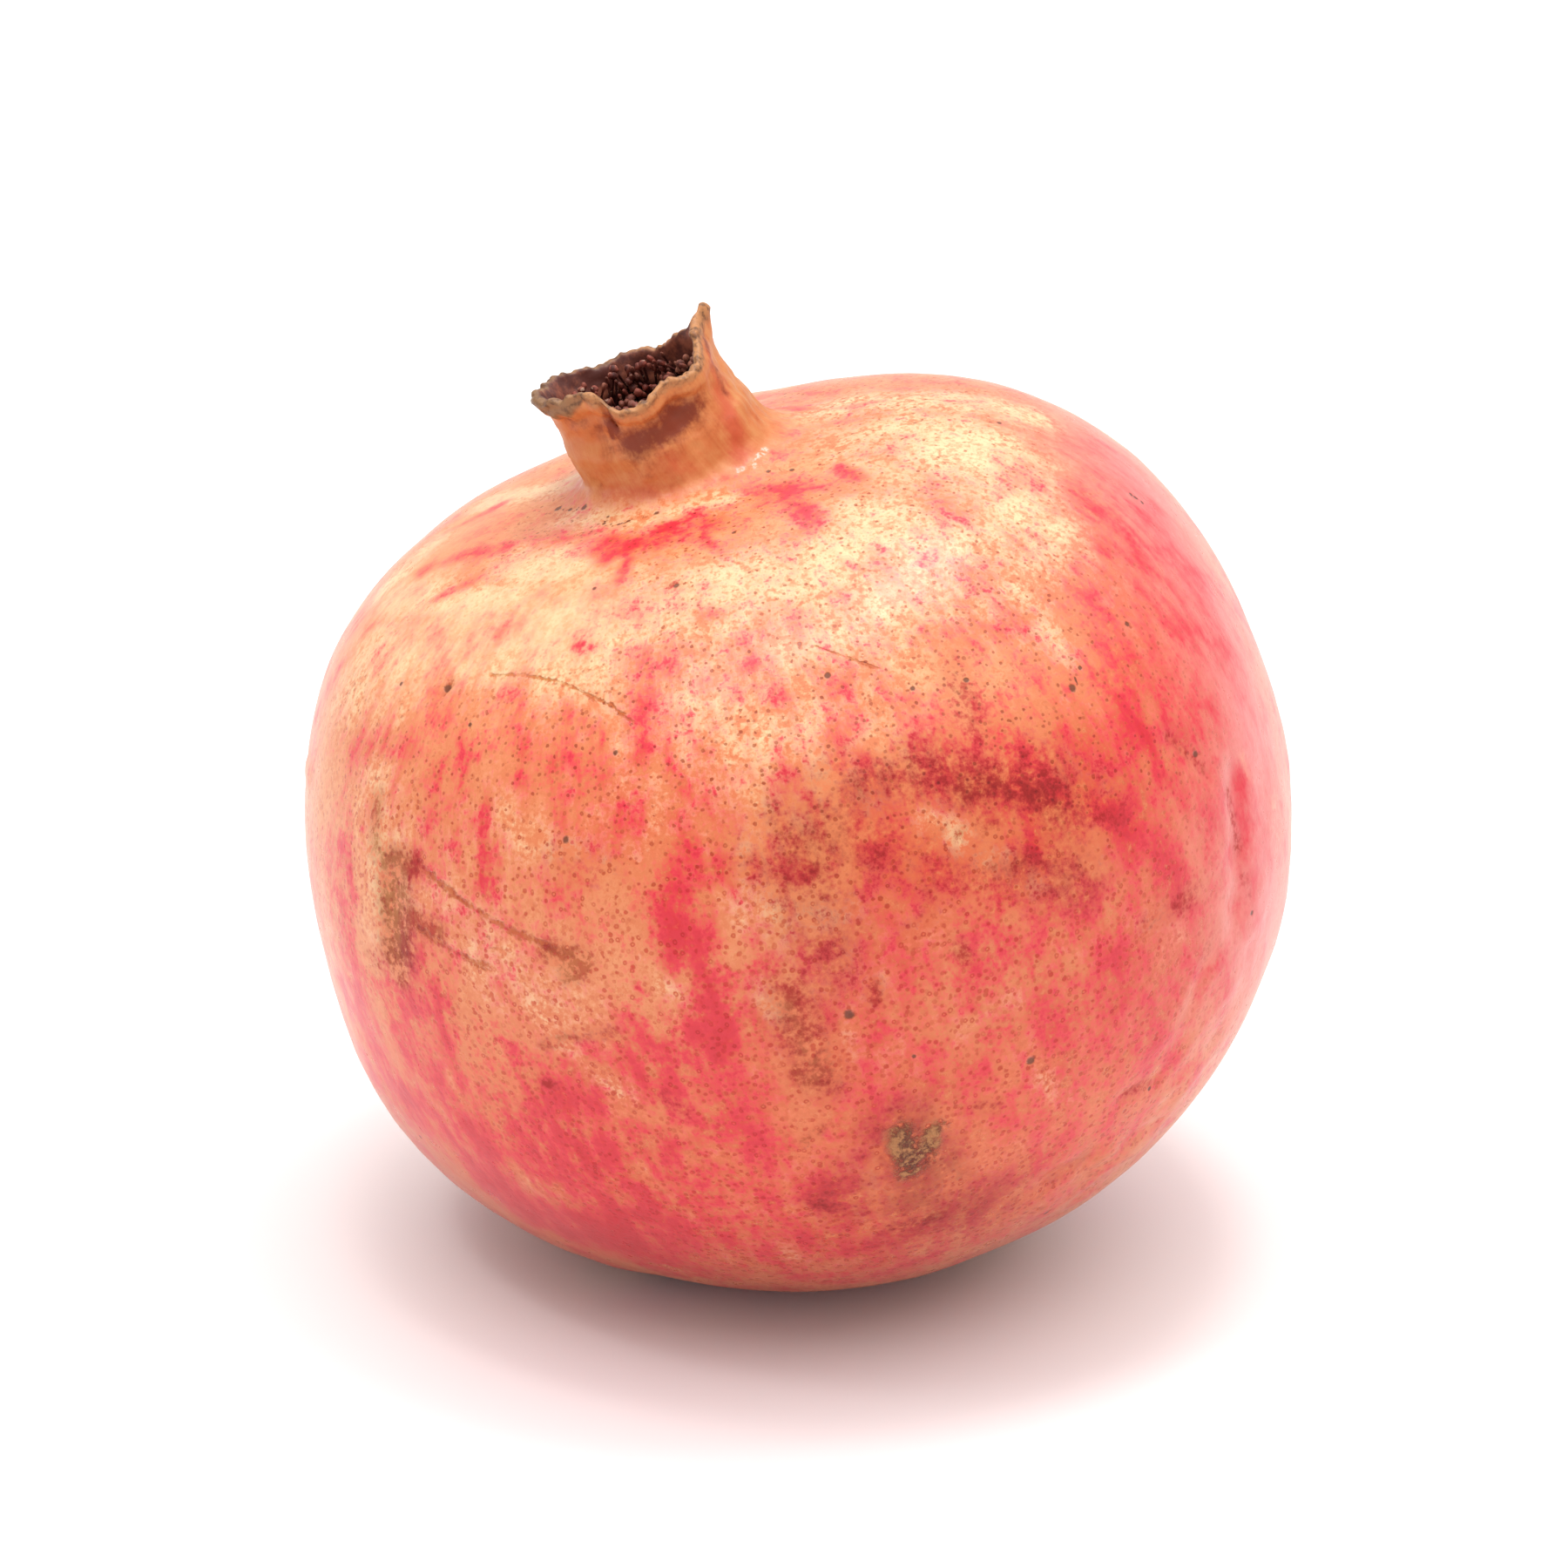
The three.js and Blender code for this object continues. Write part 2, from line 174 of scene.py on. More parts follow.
FOOT_ANGLE = math.acos((NECK_FOOT_RADIUS / EQUATOR_RADIUS) ** (ROUNDNESS / 2))
CAD_BODY = body_outline(np.linspace(-math.pi / 2, FOOT_ANGLE, 27))  # on the CAD model's own rows
NECK_FOOT_HEIGHT = float(body_outline(np.array([FOOT_ANGLE]))[0, 1])
print("the neck starts", round(NECK_FOOT_HEIGHT, 2), "mm above the body's centre")

# %% Rows of the profile
BODY_ROWS = 154
NECK_ROWS = 28
WALL_ROWS = 22
LIP_ROWS = 6
CUP_ROWS = 10
FLOOR_ROWS = 3


def profile_rows():
    """All rows in one table: radius, height, how far the row is tube wall, its rise to the rim, its share of the
    ribs, its height over the edge where the lip is rounded, and how far it lies inside."""
    body = evenly(body_outline(np.linspace(-math.pi / 2, FOOT_ANGLE, 2000)), BODY_ROWS)
    body[0, 0] = 0.0
    slope = (CAD_BODY[-1] - CAD_BODY[-2]) / np.linalg.norm(CAD_BODY[-1] - CAD_BODY[-2])
    share = np.arange(1, NECK_ROWS + 1) / NECK_ROWS
    waist = np.array([WAIST_RADIUS, WAIST_HEIGHT])
    pulls = [body[-1], body[-1] + slope * NECK_FOOT_PULL, waist - (0, NECK_WAIST_PULL), waist]
    neck = bezier(pulls, share)
    wall_share = smoothstep(0, 1, share)
    rise = np.arange(1, WALL_ROWS + 1) / WALL_ROWS
    round_lip = math.pi * np.arange(1, LIP_ROWS + 1) / (LIP_ROWS + 1)
    lip_radius = WAIST_RADIUS - TUBE_WALL / 2 * (1 - np.cos(round_lip))
    down = np.arange(WALL_ROWS, -1, -1) / WALL_ROWS
    cup = cup_outline(0.0, np.arange(1, CUP_ROWS + 1) / CUP_ROWS)
    floor_radius = CUP_FLOOR_RADIUS * np.arange(FLOOR_ROWS - 1, -1, -1) / FLOOR_ROWS

    def block(radius, height, wall=0.0, rise=0.0, ribs=0.0, lip=0.0, inside=0.0):
        return np.stack(np.broadcast_arrays(radius, height, wall, rise, ribs, lip, inside), -1)

    return np.concatenate([
        block(body[:, 0], body[:, 1]),
        block(neck[:, 0], neck[:, 1], wall=wall_share, ribs=wall_share),
        block(WAIST_RADIUS + 0 * rise, WAIST_HEIGHT, wall=1, rise=rise, ribs=1),
        block(lip_radius, WAIST_HEIGHT, 1, 1, 1, TUBE_WALL / 2 * np.sin(round_lip), round_lip / math.pi),
        block(WAIST_RADIUS - TUBE_WALL + 0 * down, WAIST_HEIGHT, wall=1, rise=down, ribs=down, inside=1),
        block(cup[:, 0], cup[:, 1], wall=1, inside=1),
        block(floor_radius, CUP_FLOOR_HEIGHT, wall=1, inside=1),
    ])


ROWS = profile_rows()
print("rows of the profile:", len(ROWS))

# %% [markdown]
# ## From the profile to the skin
# Every row is carried round the axis, and each point of it is moved by the lobes, the ribs of the tube, the
# torn rim and the swells. The rim is known at a few stations only, and a smooth closed curve runs between them.

# %% The skin as a function of row and turn


def round_rim(turn, column):
    """Height (1) or flare (2) of the rim: a cubic between neighbouring stations, with the slope at each
    taken from the two beside it."""
    turns = np.concatenate([RIM[-2:, 0] - 360, RIM[:, 0], RIM[:3, 0] + 360])
    values = np.concatenate([RIM[-2:, column], RIM[:, column], RIM[:3, column]])
    slopes = (values[2:] - values[:-2]) / (turns[2:] - turns[:-2])
    angle = RIM[0, 0] + (turn - RIM[0, 0]) % 360
    k = np.searchsorted(turns, angle, side="right") - 1
    width = turns[k + 1] - turns[k]
    s = (angle - turns[k]) / width
    held = values[k] * (2 * s**3 - 3 * s**2 + 1) + values[k + 1] * (3 * s**2 - 2 * s**3)
    bent = slopes[k - 1] * (s**3 - 2 * s**2 + s) + slopes[k] * (s**3 - s**2)
    return held + width * bent


def direction(turn, latitude):
    """Unit vector from the body's centre at a turn and a latitude."""
    flat = cosine(latitude)
    return np.stack([flat * cosine(turn), flat * sine(turn), sine(latitude)], -1)


def swollen(points):
    """Each point pushed away from the centre by bell curves over its angle to every swell."""
    outward = points / np.linalg.norm(points, axis=-1, keepdims=True)
    push = np.zeros(points.shape[:-1])
    for turn, latitude, size, spread in SWELLS:
        angle = np.degrees(np.arccos(np.clip(outward @ direction(turn, latitude), -1, 1)))
        push += size * bell(angle / spread)
    return points + outward * push[..., None]


def lobe(radius, turn):
    """Six soft lobes, highest at the widest level."""
    return LOBES["height"] * radius / EQUATOR_RADIUS * cosine((turn - LOBES["turn"]) * LOBES["count"])


def crown_point(radius, height, turn, wall=1.0):
    """A point of the crown: round its own axis, which stands off the fruit's and bends as it rises."""
    lift = np.maximum(0.0, height - NECK_FOOT_HEIGHT) * wall
    x = radius * cosine(turn) + CROWN_OFFSET["x"] * wall - CROWN_BEND * lift
    y = radius * sine(turn) + CROWN_OFFSET["y"] * wall
    return swollen(np.stack(np.broadcast_arrays(x, y, height), -1))


print("the rim stands", round(float(round_rim(15.0, 1)), 2), "mm above the waist at its tall point")

# %% How the fruit stands
pitched = np.array([[1, 0, 0], [0, cosine(PITCH), -sine(PITCH)], [0, sine(PITCH), cosine(PITCH)]])
leaned = np.array([[cosine(LEAN), 0, -sine(LEAN)], [0, 1, 0], [sine(LEAN), 0, cosine(LEAN)]])
STANCE_TURN = pitched @ leaned


def lowest_of_body():
    """How far below its centre the leaning body reaches, on the CAD model's own rows and columns."""
    turn = np.arange(0, 360, 5)[None, :]
    radius = CAD_BODY[:, :1] + lobe(CAD_BODY[:, :1], turn)
    points = swollen(np.stack(np.broadcast_arrays(radius * cosine(turn), radius * sine(turn), CAD_BODY[:, 1:]), -1))
    return float((points @ STANCE_TURN.T)[..., 2].min())


BODY_CENTRE = np.array([-REST["x"], -REST["y"], -lowest_of_body() - REST["flattened"]])


def stand(points):
    """From the fruit's own frame to how it stands, in millimetres: leaned, pitched and set on the floor."""
    return points @ STANCE_TURN.T + BODY_CENTRE


print("body's centre stands at", BODY_CENTRE.round(2), "mm")

# %% [markdown]
# ## The torn rim up close
# Where the sepals have broken off, the lip is ragged: its teeth are coarser on the left, it is folded over like a
# small eave in front, and the tall point on the right ends in a thick, round tip. A sculpted rim would be hard to
# repeat, so these are ripples of known counts round the tube, with fixed phases, and an eave whose size follows
# the turn.

# %% Ragged details of the rim
EAVE = np.array([(0, 0.1), (40, 0.15), (90, 0.2), (150, 0.1), (190, 0.05), (225, 0.5), (245, 0.45),
                 (262, 0.35), (285, 0.5), (310, 0.4), (335, 0.1)])
EAVE_FOOT = (0.68, 0.76)
# Turn, width in degrees, depth and the rise at which it starts
CRACKS = [(257.0, 2.2, 0.55, 0.35), (298.0, 7.0, 0.25, 0.0), (243.0, 6.0, 0.3, 0.0), (330.0, 9.0, 0.2, 0.0)]
THICK_LEFT = {"turn": 215, "spread": 45, "teeth": 0.18}
TALL_TIP = {"turn": 12, "spread": 8, "thicker": 1.1}


def turn_from(turn, middle):
    """The shorter way round from one turn to another, in degrees, from -180 to 180."""
    return (turn - middle + 180) % 360 - 180


def ripple(turn, counts, seed):
    """Waves of several counts round the tube, added with seeded phases; mostly from -1 to 1."""
    phases = np.random.default_rng(seed).uniform(0, 2 * math.pi, len(counts))
    waves = [np.cos(np.radians(turn) * count + phase) for count, phase in zip(counts, phases)]
    return sum(waves) / math.sqrt(len(counts))


def ragged_height(turn):
    """Small teeth of the rim, coarser on the thick left lip."""
    left = bell(turn_from(turn, THICK_LEFT["turn"]) / THICK_LEFT["spread"])
    teeth = 0.08 * ripple(turn, (7, 11, 17, 23), 3) + 0.035 * ripple(turn, (31, 47, 61, 83), 5)
    return teeth + left * THICK_LEFT["teeth"] * ripple(turn, (17, 24, 33), 8)


def around(table, turn):
    """A value given at some turns, taken linearly between them."""
    return np.interp(turn % 360, table[:, 0], table[:, 1], period=360)


def eave(turn, rise):
    """How far the folded lip stands out: a sharp step near the rim that falls back towards its edge."""
    step = smoothstep(*EAVE_FOOT, rise)
    return around(EAVE, turn) * step * (1 - 0.75 * smoothstep(EAVE_FOOT[1], 1.0, rise))


def cracks(turn, rise):
    """Grooves down the tube: each a bell curve across its width, fading in above its start."""
    depth = np.zeros(np.broadcast(turn, rise).shape)
    for middle, width, deep, start in CRACKS:
        depth += deep * bell(turn_from(turn, middle) / width) * smoothstep(start, start + 0.3, rise)
    return depth


print("the eave stands out by", round(float(eave(225.0, EAVE_FOOT[1])), 2), "mm in front")

# %% The whole skin
COLUMNS = 408
TURNS = np.arange(COLUMNS) * 360.0 / COLUMNS


def fruit_surface(table, turn):
    """The skin on a grid: table holds one row of the profile per line, turn the columns. The radius gets the
    lobes, ribs, throat, flare, eave and cracks; the height gets the rim; then come the bend and the swells."""
    radius, height, wall, rise, ribs, lip, inside = (table[:, k : k + 1] for k in range(7))
    turn = turn[None, :]
    rib = RIBS["height"] * ribs * cosine((turn - RIBS["turn"]) * RIBS["count"])
    throat = THROAT_NARROWING * np.sin(np.minimum(rise * 2, 1) * math.pi / 2)
    flare = round_rim(turn, 2) * rise**FLARE_SHARPNESS
    tip = TALL_TIP["thicker"] * bell(turn_from(turn, TALL_TIP["turn"]) / TALL_TIP["spread"])
    thick = 0.6 + 0.3 * ripple(turn, (13, 29), 4) ** 2 + tip
    rim = (round_rim(turn, 1) + ragged_height(turn)) * rise + lip * thick
    outside = eave(turn, rise) * (1 - 0.6 * inside) - cracks(turn, rise) * (1 - inside)
    wide = radius + (1 - wall) * lobe(radius, turn) + rib - throat * (wall > 0) + flare + outside
    return crown_point(wide, height + rim, turn, wall)


skin = stand(fruit_surface(ROWS, TURNS))
print("grid of the skin:", skin.shape[:2], "highest point", round(float(skin[..., 2].max()), 2), "mm")

# %% [markdown]
# ## The camera
# The photograph looks straight at the fruit's front from 20 degrees above it, with a long lens, so the sides
# hardly converge. The camera comes before the marks, because they are noted where this camera sees them and
# are then cast back onto the skin.

# %% Camera at the photograph's angle
IMAGE_SIDE = 1800
PIXELS_PER_MM = 12.0
ELEVATION = math.radians(20)
DISTANCE = 420.0
SENSOR = 36.0
LENS = 100.8
AIM_SHIFT = {"right": -1.275, "up": 1.325}

RIGHT = np.array([1.0, 0.0, 0.0])
UP = np.array([0.0, math.sin(ELEVATION), math.cos(ELEVATION)])
TOWARD = np.array([0.0, -math.cos(ELEVATION), math.sin(ELEVATION)])
aim = BODY_CENTRE + AIM_SHIFT["right"] * RIGHT + AIM_SHIFT["up"] * UP
eye = aim + DISTANCE * TOWARD

camera_data = bpy.data.cameras.new("camera")
camera_data.sensor_width = SENSOR
camera_data.lens = LENS
camera_data.clip_start = 0.01
camera = bpy.data.objects.new("camera", camera_data)
camera.location = eye * MM
camera.rotation_euler = (math.pi / 2 - ELEVATION, 0, 0)
bpy.context.scene.collection.objects.link(camera)
bpy.context.scene.camera = camera
print("camera at", (eye * MM).round(4), "m")

# %% [markdown]
# ## Closing the grid into a mesh
# Rows and columns make four-sided faces. The last column joins the first, and the first and last rows have
# shrunk to one point each, so a fan of triangles closes them. The corners run so that every face looks outwards.

# %% Faces of a closed grid


def closed_grid_faces(rows, columns):
    """Corner numbers for a grid that is closed round its columns, with a pole before and after its rows."""
    index = 1 + np.arange(rows * columns).reshape(rows, columns)
    beside = np.roll(index, -1, axis=1)
    quads = np.stack([index[:-1], beside[:-1], beside[1:], index[1:]], -1).reshape(-1, 4)
    first, last = np.zeros(columns, int), np.full(columns, rows * columns + 1)
    start = np.stack([first, beside[0], index[0]], -1)
    end = np.stack([index[-1], beside[-1], last], -1)
    return quads, np.concatenate([start, end])


def closed_grid_points(grid):
    """The grid's points in the order that the faces expect, with its first and last row as single poles."""
    return np.concatenate([grid[0, :1], grid[1:-1].reshape(-1, 3), grid[-1, :1]])


def make_piece(name, points, *face_sets):
    """A smooth-shaded object of these points, in millimetres, and faces."""
    mesh = bpy.data.meshes.new(name)
    faces = [face for group in face_sets for face in group.tolist()]
    mesh.from_pydata((points * MM).tolist(), [], faces)
    mesh.validate()
    mesh.shade_smooth()
    piece = bpy.data.objects.new(name, mesh)
    bpy.context.scene.collection.objects.link(piece)
    triangles = sum(len(polygon.vertices) - 2 for polygon in mesh.polygons)
    print(name, "has", len(points), "points and", triangles, "triangles")
    return piece


skin_quads, skin_fans = closed_grid_faces(len(ROWS) - 2, COLUMNS)
print("faces of the skin:", len(skin_quads) + len(skin_fans))

# %% [markdown]
# ## Casting marks onto the skin
# A stroke of red, a scar or a dent is noted as a few points of the 1800 by 1800 picture. A ray through each
# point finds the skin, and the mark is then a soft band round the line through those points in space. It could
# be painted on by hand, but numbers can be moved one at a time and are the same on every run.

# %% From picture points to the skin
POINTS = closed_grid_points(skin)
skin_tree = BVHTree.FromPolygons(POINTS.tolist(), skin_quads.tolist() + skin_fans.tolist())


def cast(spots):
    """Where the camera's rays through these picture points meet the skin, in millimetres."""
    found = []
    for x, y in spots:
        across = (x / IMAGE_SIDE - 0.5) * SENSOR / LENS
        upward = (0.5 - y / IMAGE_SIDE) * SENSOR / LENS
        ray = Vector(across * RIGHT + upward * UP - TOWARD).normalized()
        place = skin_tree.ray_cast(Vector(eye), ray)[0]
        if place is not None:
            found.append(tuple(place))
    return np.array(found).reshape(-1, 3)


print("the picture's middle lies on the skin at", cast([(900, 900)]).round(1)[0], "mm")

# %% From lines of points to soft bands


def split(spots, longest=30.0):
    """The same line of picture points with more points between, at most so many pixels apart."""
    spots = np.asarray(spots, float).reshape(-1, 2)
    dense = [spots[:1]]
    for start, end in zip(spots[:-1], spots[1:]):
        parts = max(1, math.ceil(np.linalg.norm(end - start) / longest))
        share = np.arange(1, parts + 1)[:, None] / parts
        dense.append(start + (end - start) * share)
    return np.concatenate(dense)


def away_from(line):
    """Every skin point's distance to a line of points in space."""
    if len(line) == 0:
        return np.full(len(POINTS), np.inf)
    nearest = np.linalg.norm(POINTS - line[0], axis=1)
    for start, end in zip(line[:-1], line[1:]):
        along = end - start
        share = np.clip((POINTS - start) @ along / max(along @ along, 1e-9), 0, 1)
        nearest = np.minimum(nearest, np.linalg.norm(POINTS - start - share[:, None] * along, axis=1))
    return nearest


def strokes(marks):
    """The strongest of many soft bands at each skin point. A mark is a width in pixels, a strength and its
    picture points; a band falls off as a bell curve over the distance."""
    field = np.zeros(len(POINTS))
    for width, strength, *spots in marks:
        field = np.maximum(field, strength * bell(away_from(cast(split(spots))) * PIXELS_PER_MM / width))
    return field


print("one width away from its line a stroke has", round(float(bell(1.0)), 2), "of its strength")

# %% [markdown]
# ## Red, yellow and brown
# The rind is cream to salmon, and the sun has laid streaks and blots of red over it, mostly along the
# meridians. FLUSH holds the broad ones and RED the narrow, strong ones. Their edges are broken up later by the
# noise in the material, so here they only need their place and width, in pixels of the picture, and strength.

# %% Broad flushes of red
FLUSH = [
    (105, 0.86, (440, 1190), (500, 1290), (620, 1380), (760, 1430)),
    (95, 0.86, (600, 1260), (720, 1330), (860, 1400)), (80, 0.66, (860, 1330), (980, 1400), (1060, 1430)),
    (46, 0.62, (770, 1030), (795, 1130), (822, 1240)),
    (80, 0.56, (1090, 890), (1160, 885), (1280, 930), (1320, 1010)),
    (50, 0.42, (1010, 960), (1020, 1080), (1005, 1190)), (75, 0.6, (1270, 1040), (1290, 1150), (1230, 1190)),
    (60, 0.5, (1120, 1060), (1150, 1150)), (100, 0.42, (1270, 560), (1350, 660), (1410, 800), (1430, 950)),
    (60, 0.52, (1290, 800), (1320, 880)), (90, 0.32, (1060, 1250), (1200, 1290), (1300, 1220)),
    (60, 0.28, (600, 850), (700, 900), (720, 1000)), (30, 0.7, (695, 630), (750, 620), (805, 600)),
    (40, 0.5, (780, 755), (850, 760)), (30, 0.5, (730, 760), (740, 830)), (24, 0.5, (650, 742), (670, 748)),
    (30, 0.5, (640, 622), (690, 616)), (28, 0.5, (885, 560), (935, 592)), (40, 0.22, (460, 640), (560, 600)),
    (40, 0.34, (380, 830), (460, 880)), (60, 0.88, (470, 1310), (560, 1395), (680, 1455), (820, 1478)),
    (60, 0.3, (860, 960), (960, 1010), (940, 1110)), (50, 0.6, (1380, 1050), (1340, 1150)),
    (40, 0.32, (560, 880), (560, 1000)), (50, 0.15, (760, 720), (800, 760)),
]
print("broad flushes:", len(FLUSH))

# %% Narrow strokes of red
RED = [
    (15, 1.2, (762, 608), (800, 590)), (19, 1.15, (700, 640), (728, 628)), (11, 1.0, (722, 645), (714, 664)),
    (9, 1.0, (690, 611), (638, 621)), (8, 0.9, (800, 592), (838, 580)), (8, 0.8, (800, 600), (815, 626)),
    (22, 1.05, (898, 560), (912, 578), (932, 594)), (10, 1.0, (962, 536), (992, 548)),
    (13, 0.75, (578, 628), (520, 640), (484, 656)), (10, 0.7, (540, 668), (498, 687)),
    (10, 0.7, (582, 574), (540, 594), (518, 607)), (9, 1.3, (656, 738), (664, 744)),
    (11, 0.9, (738, 790), (736, 850), (733, 884)), (12, 0.7, (652, 812), (648, 870)),
    (8, 0.8, (596, 892), (597, 906)), (11, 0.8, (558, 920), (552, 1015)), (10, 0.8, (710, 925), (706, 978)),
    (8, 0.8, (520, 972), (530, 996)), (15, 0.7, (680, 975), (672, 1000)),
    (24, 1.1, (755, 1035), (775, 1080), (770, 1115)), (22, 1.1, (785, 1060), (815, 1135), (826, 1190), (836, 1235)),
    (10, 0.9, (742, 1120), (745, 1135)), (14, 0.9, (828, 1300), (833, 1350)), (16, 0.95, (668, 1200), (708, 1222)),
    (11, 1.0, (716, 1206), (735, 1240), (752, 1270)), (8, 0.85, (577, 1137), (602, 1172)),
    (10, 0.85, (544, 1154), (568, 1178)), (7, 0.85, (498, 1124), (512, 1154)), (14, 0.7, (392, 975), (410, 1030)),
    (26, 1.0, (480, 1225), (540, 1300), (590, 1370)), (26, 1.1, (640, 1330), (700, 1390), (760, 1400)),
    (18, 0.95, (590, 1225), (640, 1250), (700, 1290), (760, 1300)), (20, 0.95, (760, 1200), (775, 1290)),
    (18, 0.9, (800, 1370), (870, 1400)), (12, 0.8, (880, 1412), (905, 1420)), (13, 1.0, (1178, 930), (1188, 978)),
    (14, 0.95, (1150, 905), (1205, 920)), (32, 1.1, (1262, 930), (1310, 960), (1345, 1005)),
    (12, 0.95, (1242, 1008), (1248, 1018)), (10, 0.9, (1098, 1064), (1116, 1090)),
    (14, 0.8, (1250, 1060), (1275, 1105)), (15, 0.8, (1256, 1170), (1262, 1190)),
    (12, 0.7, (1150, 1170), (1170, 1185)), (9, 0.9, (1004, 1137), (1014, 1187)),
    (20, 1.1, (1150, 846), (1178, 868), (1212, 905)), (20, 1.0, (1286, 800), (1310, 840), (1328, 885)),
    (12, 0.65, (1265, 628), (1300, 650)), (9, 0.8, (1145, 798), (1168, 806)),
    (9, 0.6, (905, 470), (960, 470), (1015, 462)), (6, 0.5, (1007, 458), (1076, 454)),
    (22, 0.8, (1300, 1120), (1330, 1180), (1320, 1230)), (14, 0.7, (960, 880), (1030, 860), (1090, 850)),
    (16, 0.7, (990, 1220), (1010, 1290), (980, 1350)), (12, 0.6, (775, 700), (830, 705), (850, 690)),
    (7, 0.7, (965, 642), (985, 650)), (16, 0.5, (850, 940), (830, 1000)),
]
print("narrow strokes:", len(RED))

# %% [markdown]
# ## Ripe, calm and patchy areas
# RIPE is where the ground is salmon rather than cream, CALM where the colour lies smooth with few freckles, and
# PATCHY where it breaks up the most. The first calm area is also rosy, away from the sun.

# %% Broad areas
RIPE = [
    (230, 1.0, (500, 1300), (800, 1380), (1200, 1300)), (170, 0.9, (1330, 700), (1380, 900), (1340, 1100)),
    (170, 0.75, (1060, 1020), (1230, 960)), (120, 0.45, (680, 900), (760, 1080)), (90, 0.3, (430, 850), (640, 850)),
]
CALM = [
    (150, 1.0, (1310, 560), (1390, 700), (1440, 850), (1450, 1050)),
    (130, 1.0, (420, 1180), (520, 1340), (660, 1430)), (90, 1.0, (400, 740), (480, 660), (560, 580)),
    (90, 1.0, (480, 740), (640, 700)), (60, 0.5, (370, 850), (380, 1050)),
]
PATCHY = [(150, 0.9, (470, 1230), (600, 1330), (760, 1390))]
ripe = np.clip(strokes(RIPE) + 0.2, 0, 1)
red = np.maximum(np.maximum(0.85 * strokes(RED), strokes(FLUSH)), 0.02 + 0.3 * ripe)
calm = strokes(CALM)
rosy = strokes(CALM[:1])
patchy = strokes(PATCHY)
print("broad areas:", len(RIPE) + len(CALM) + len(PATCHY), "strongest red", round(float(red.max()), 2))

# %% [markdown]
# ## Cream, cork and stains
# Where the sun was weak the rind stayed cream; along the shine on the shoulder, cream is also laid as a painted
# highlight. Rubbing against twigs has left brown cork, the russet, a fungus or a hard knock the scab, and round
# the scab and in the middle the skin is smoothly stained.

# %% Patches of cream, some of them painted highlight
CREAM_AND_HIGHLIGHT = [
    (70, 1.0, (1060, 500), (1150, 530), (1180, 600)), (60, 0.9, (980, 610), (1080, 620)),
    (90, 1.0, (430, 760), (520, 735), (620, 735), (700, 725)), (38, 1.2, (590, 645), (650, 650)),
    (34, 1.1, (450, 690), (580, 690)), (34, 1.1, (560, 575), (650, 555)), (30, 1.0, (500, 620), (440, 680)),
    # Painted highlight: the strokes along the band from (700, 712) to (960, 640), and the one at (740, 700) below,
    # lighten the shine on the shoulder to cream; the other patches are the rind's own cream
    (30, 1.3, (715, 706), (765, 694)), (46, 1.25, (700, 712), (780, 690), (880, 660), (960, 640)),
    (40, 1.0, (960, 470), (1080, 458), (1180, 480)), (90, 0.75, (720, 705), (860, 765), (980, 730)),
    (90, 0.6, (760, 820), (900, 830), (1000, 800)), (50, 0.35, (850, 860), (900, 900), (900, 990)),
    (24, 0.9, (1185, 725), (1220, 745)), (50, 0.6, (1080, 690), (1160, 700)),
    (60, 0.5, (430, 890), (440, 960), (450, 1060)), (60, 0.42, (500, 1040), (590, 1110), (640, 1150)),
    (40, 0.25, (560, 950), (620, 960)), (26, 0.9, (655, 595), (700, 606), (760, 600), (830, 575)),
    (40, 0.5, (960, 500), (1010, 520)), (40, 0.4, (1240, 650), (1180, 650)), (18, 0.7, (760, 1130), (795, 1150)),
    (16, 0.5, (680, 1240), (730, 1255)), (22, 0.7, (690, 600), (760, 588)), (14, 0.7, (870, 1130), (890, 1170)),
    (40, 0.5, (860, 1040), (930, 1060)), (18, 0.6, (1060, 930), (1100, 960)), (20, 0.6, (1140, 990), (1190, 1010)),
    (26, 0.6, (740, 700), (830, 665)), (20, 0.5, (1110, 1180), (1160, 1150)), (14, 0.6, (640, 1290), (665, 1310)),
    (14, 0.55, (1195, 1240), (1230, 1260)),
]
print("patches of cream:", len(CREAM_AND_HIGHLIGHT))

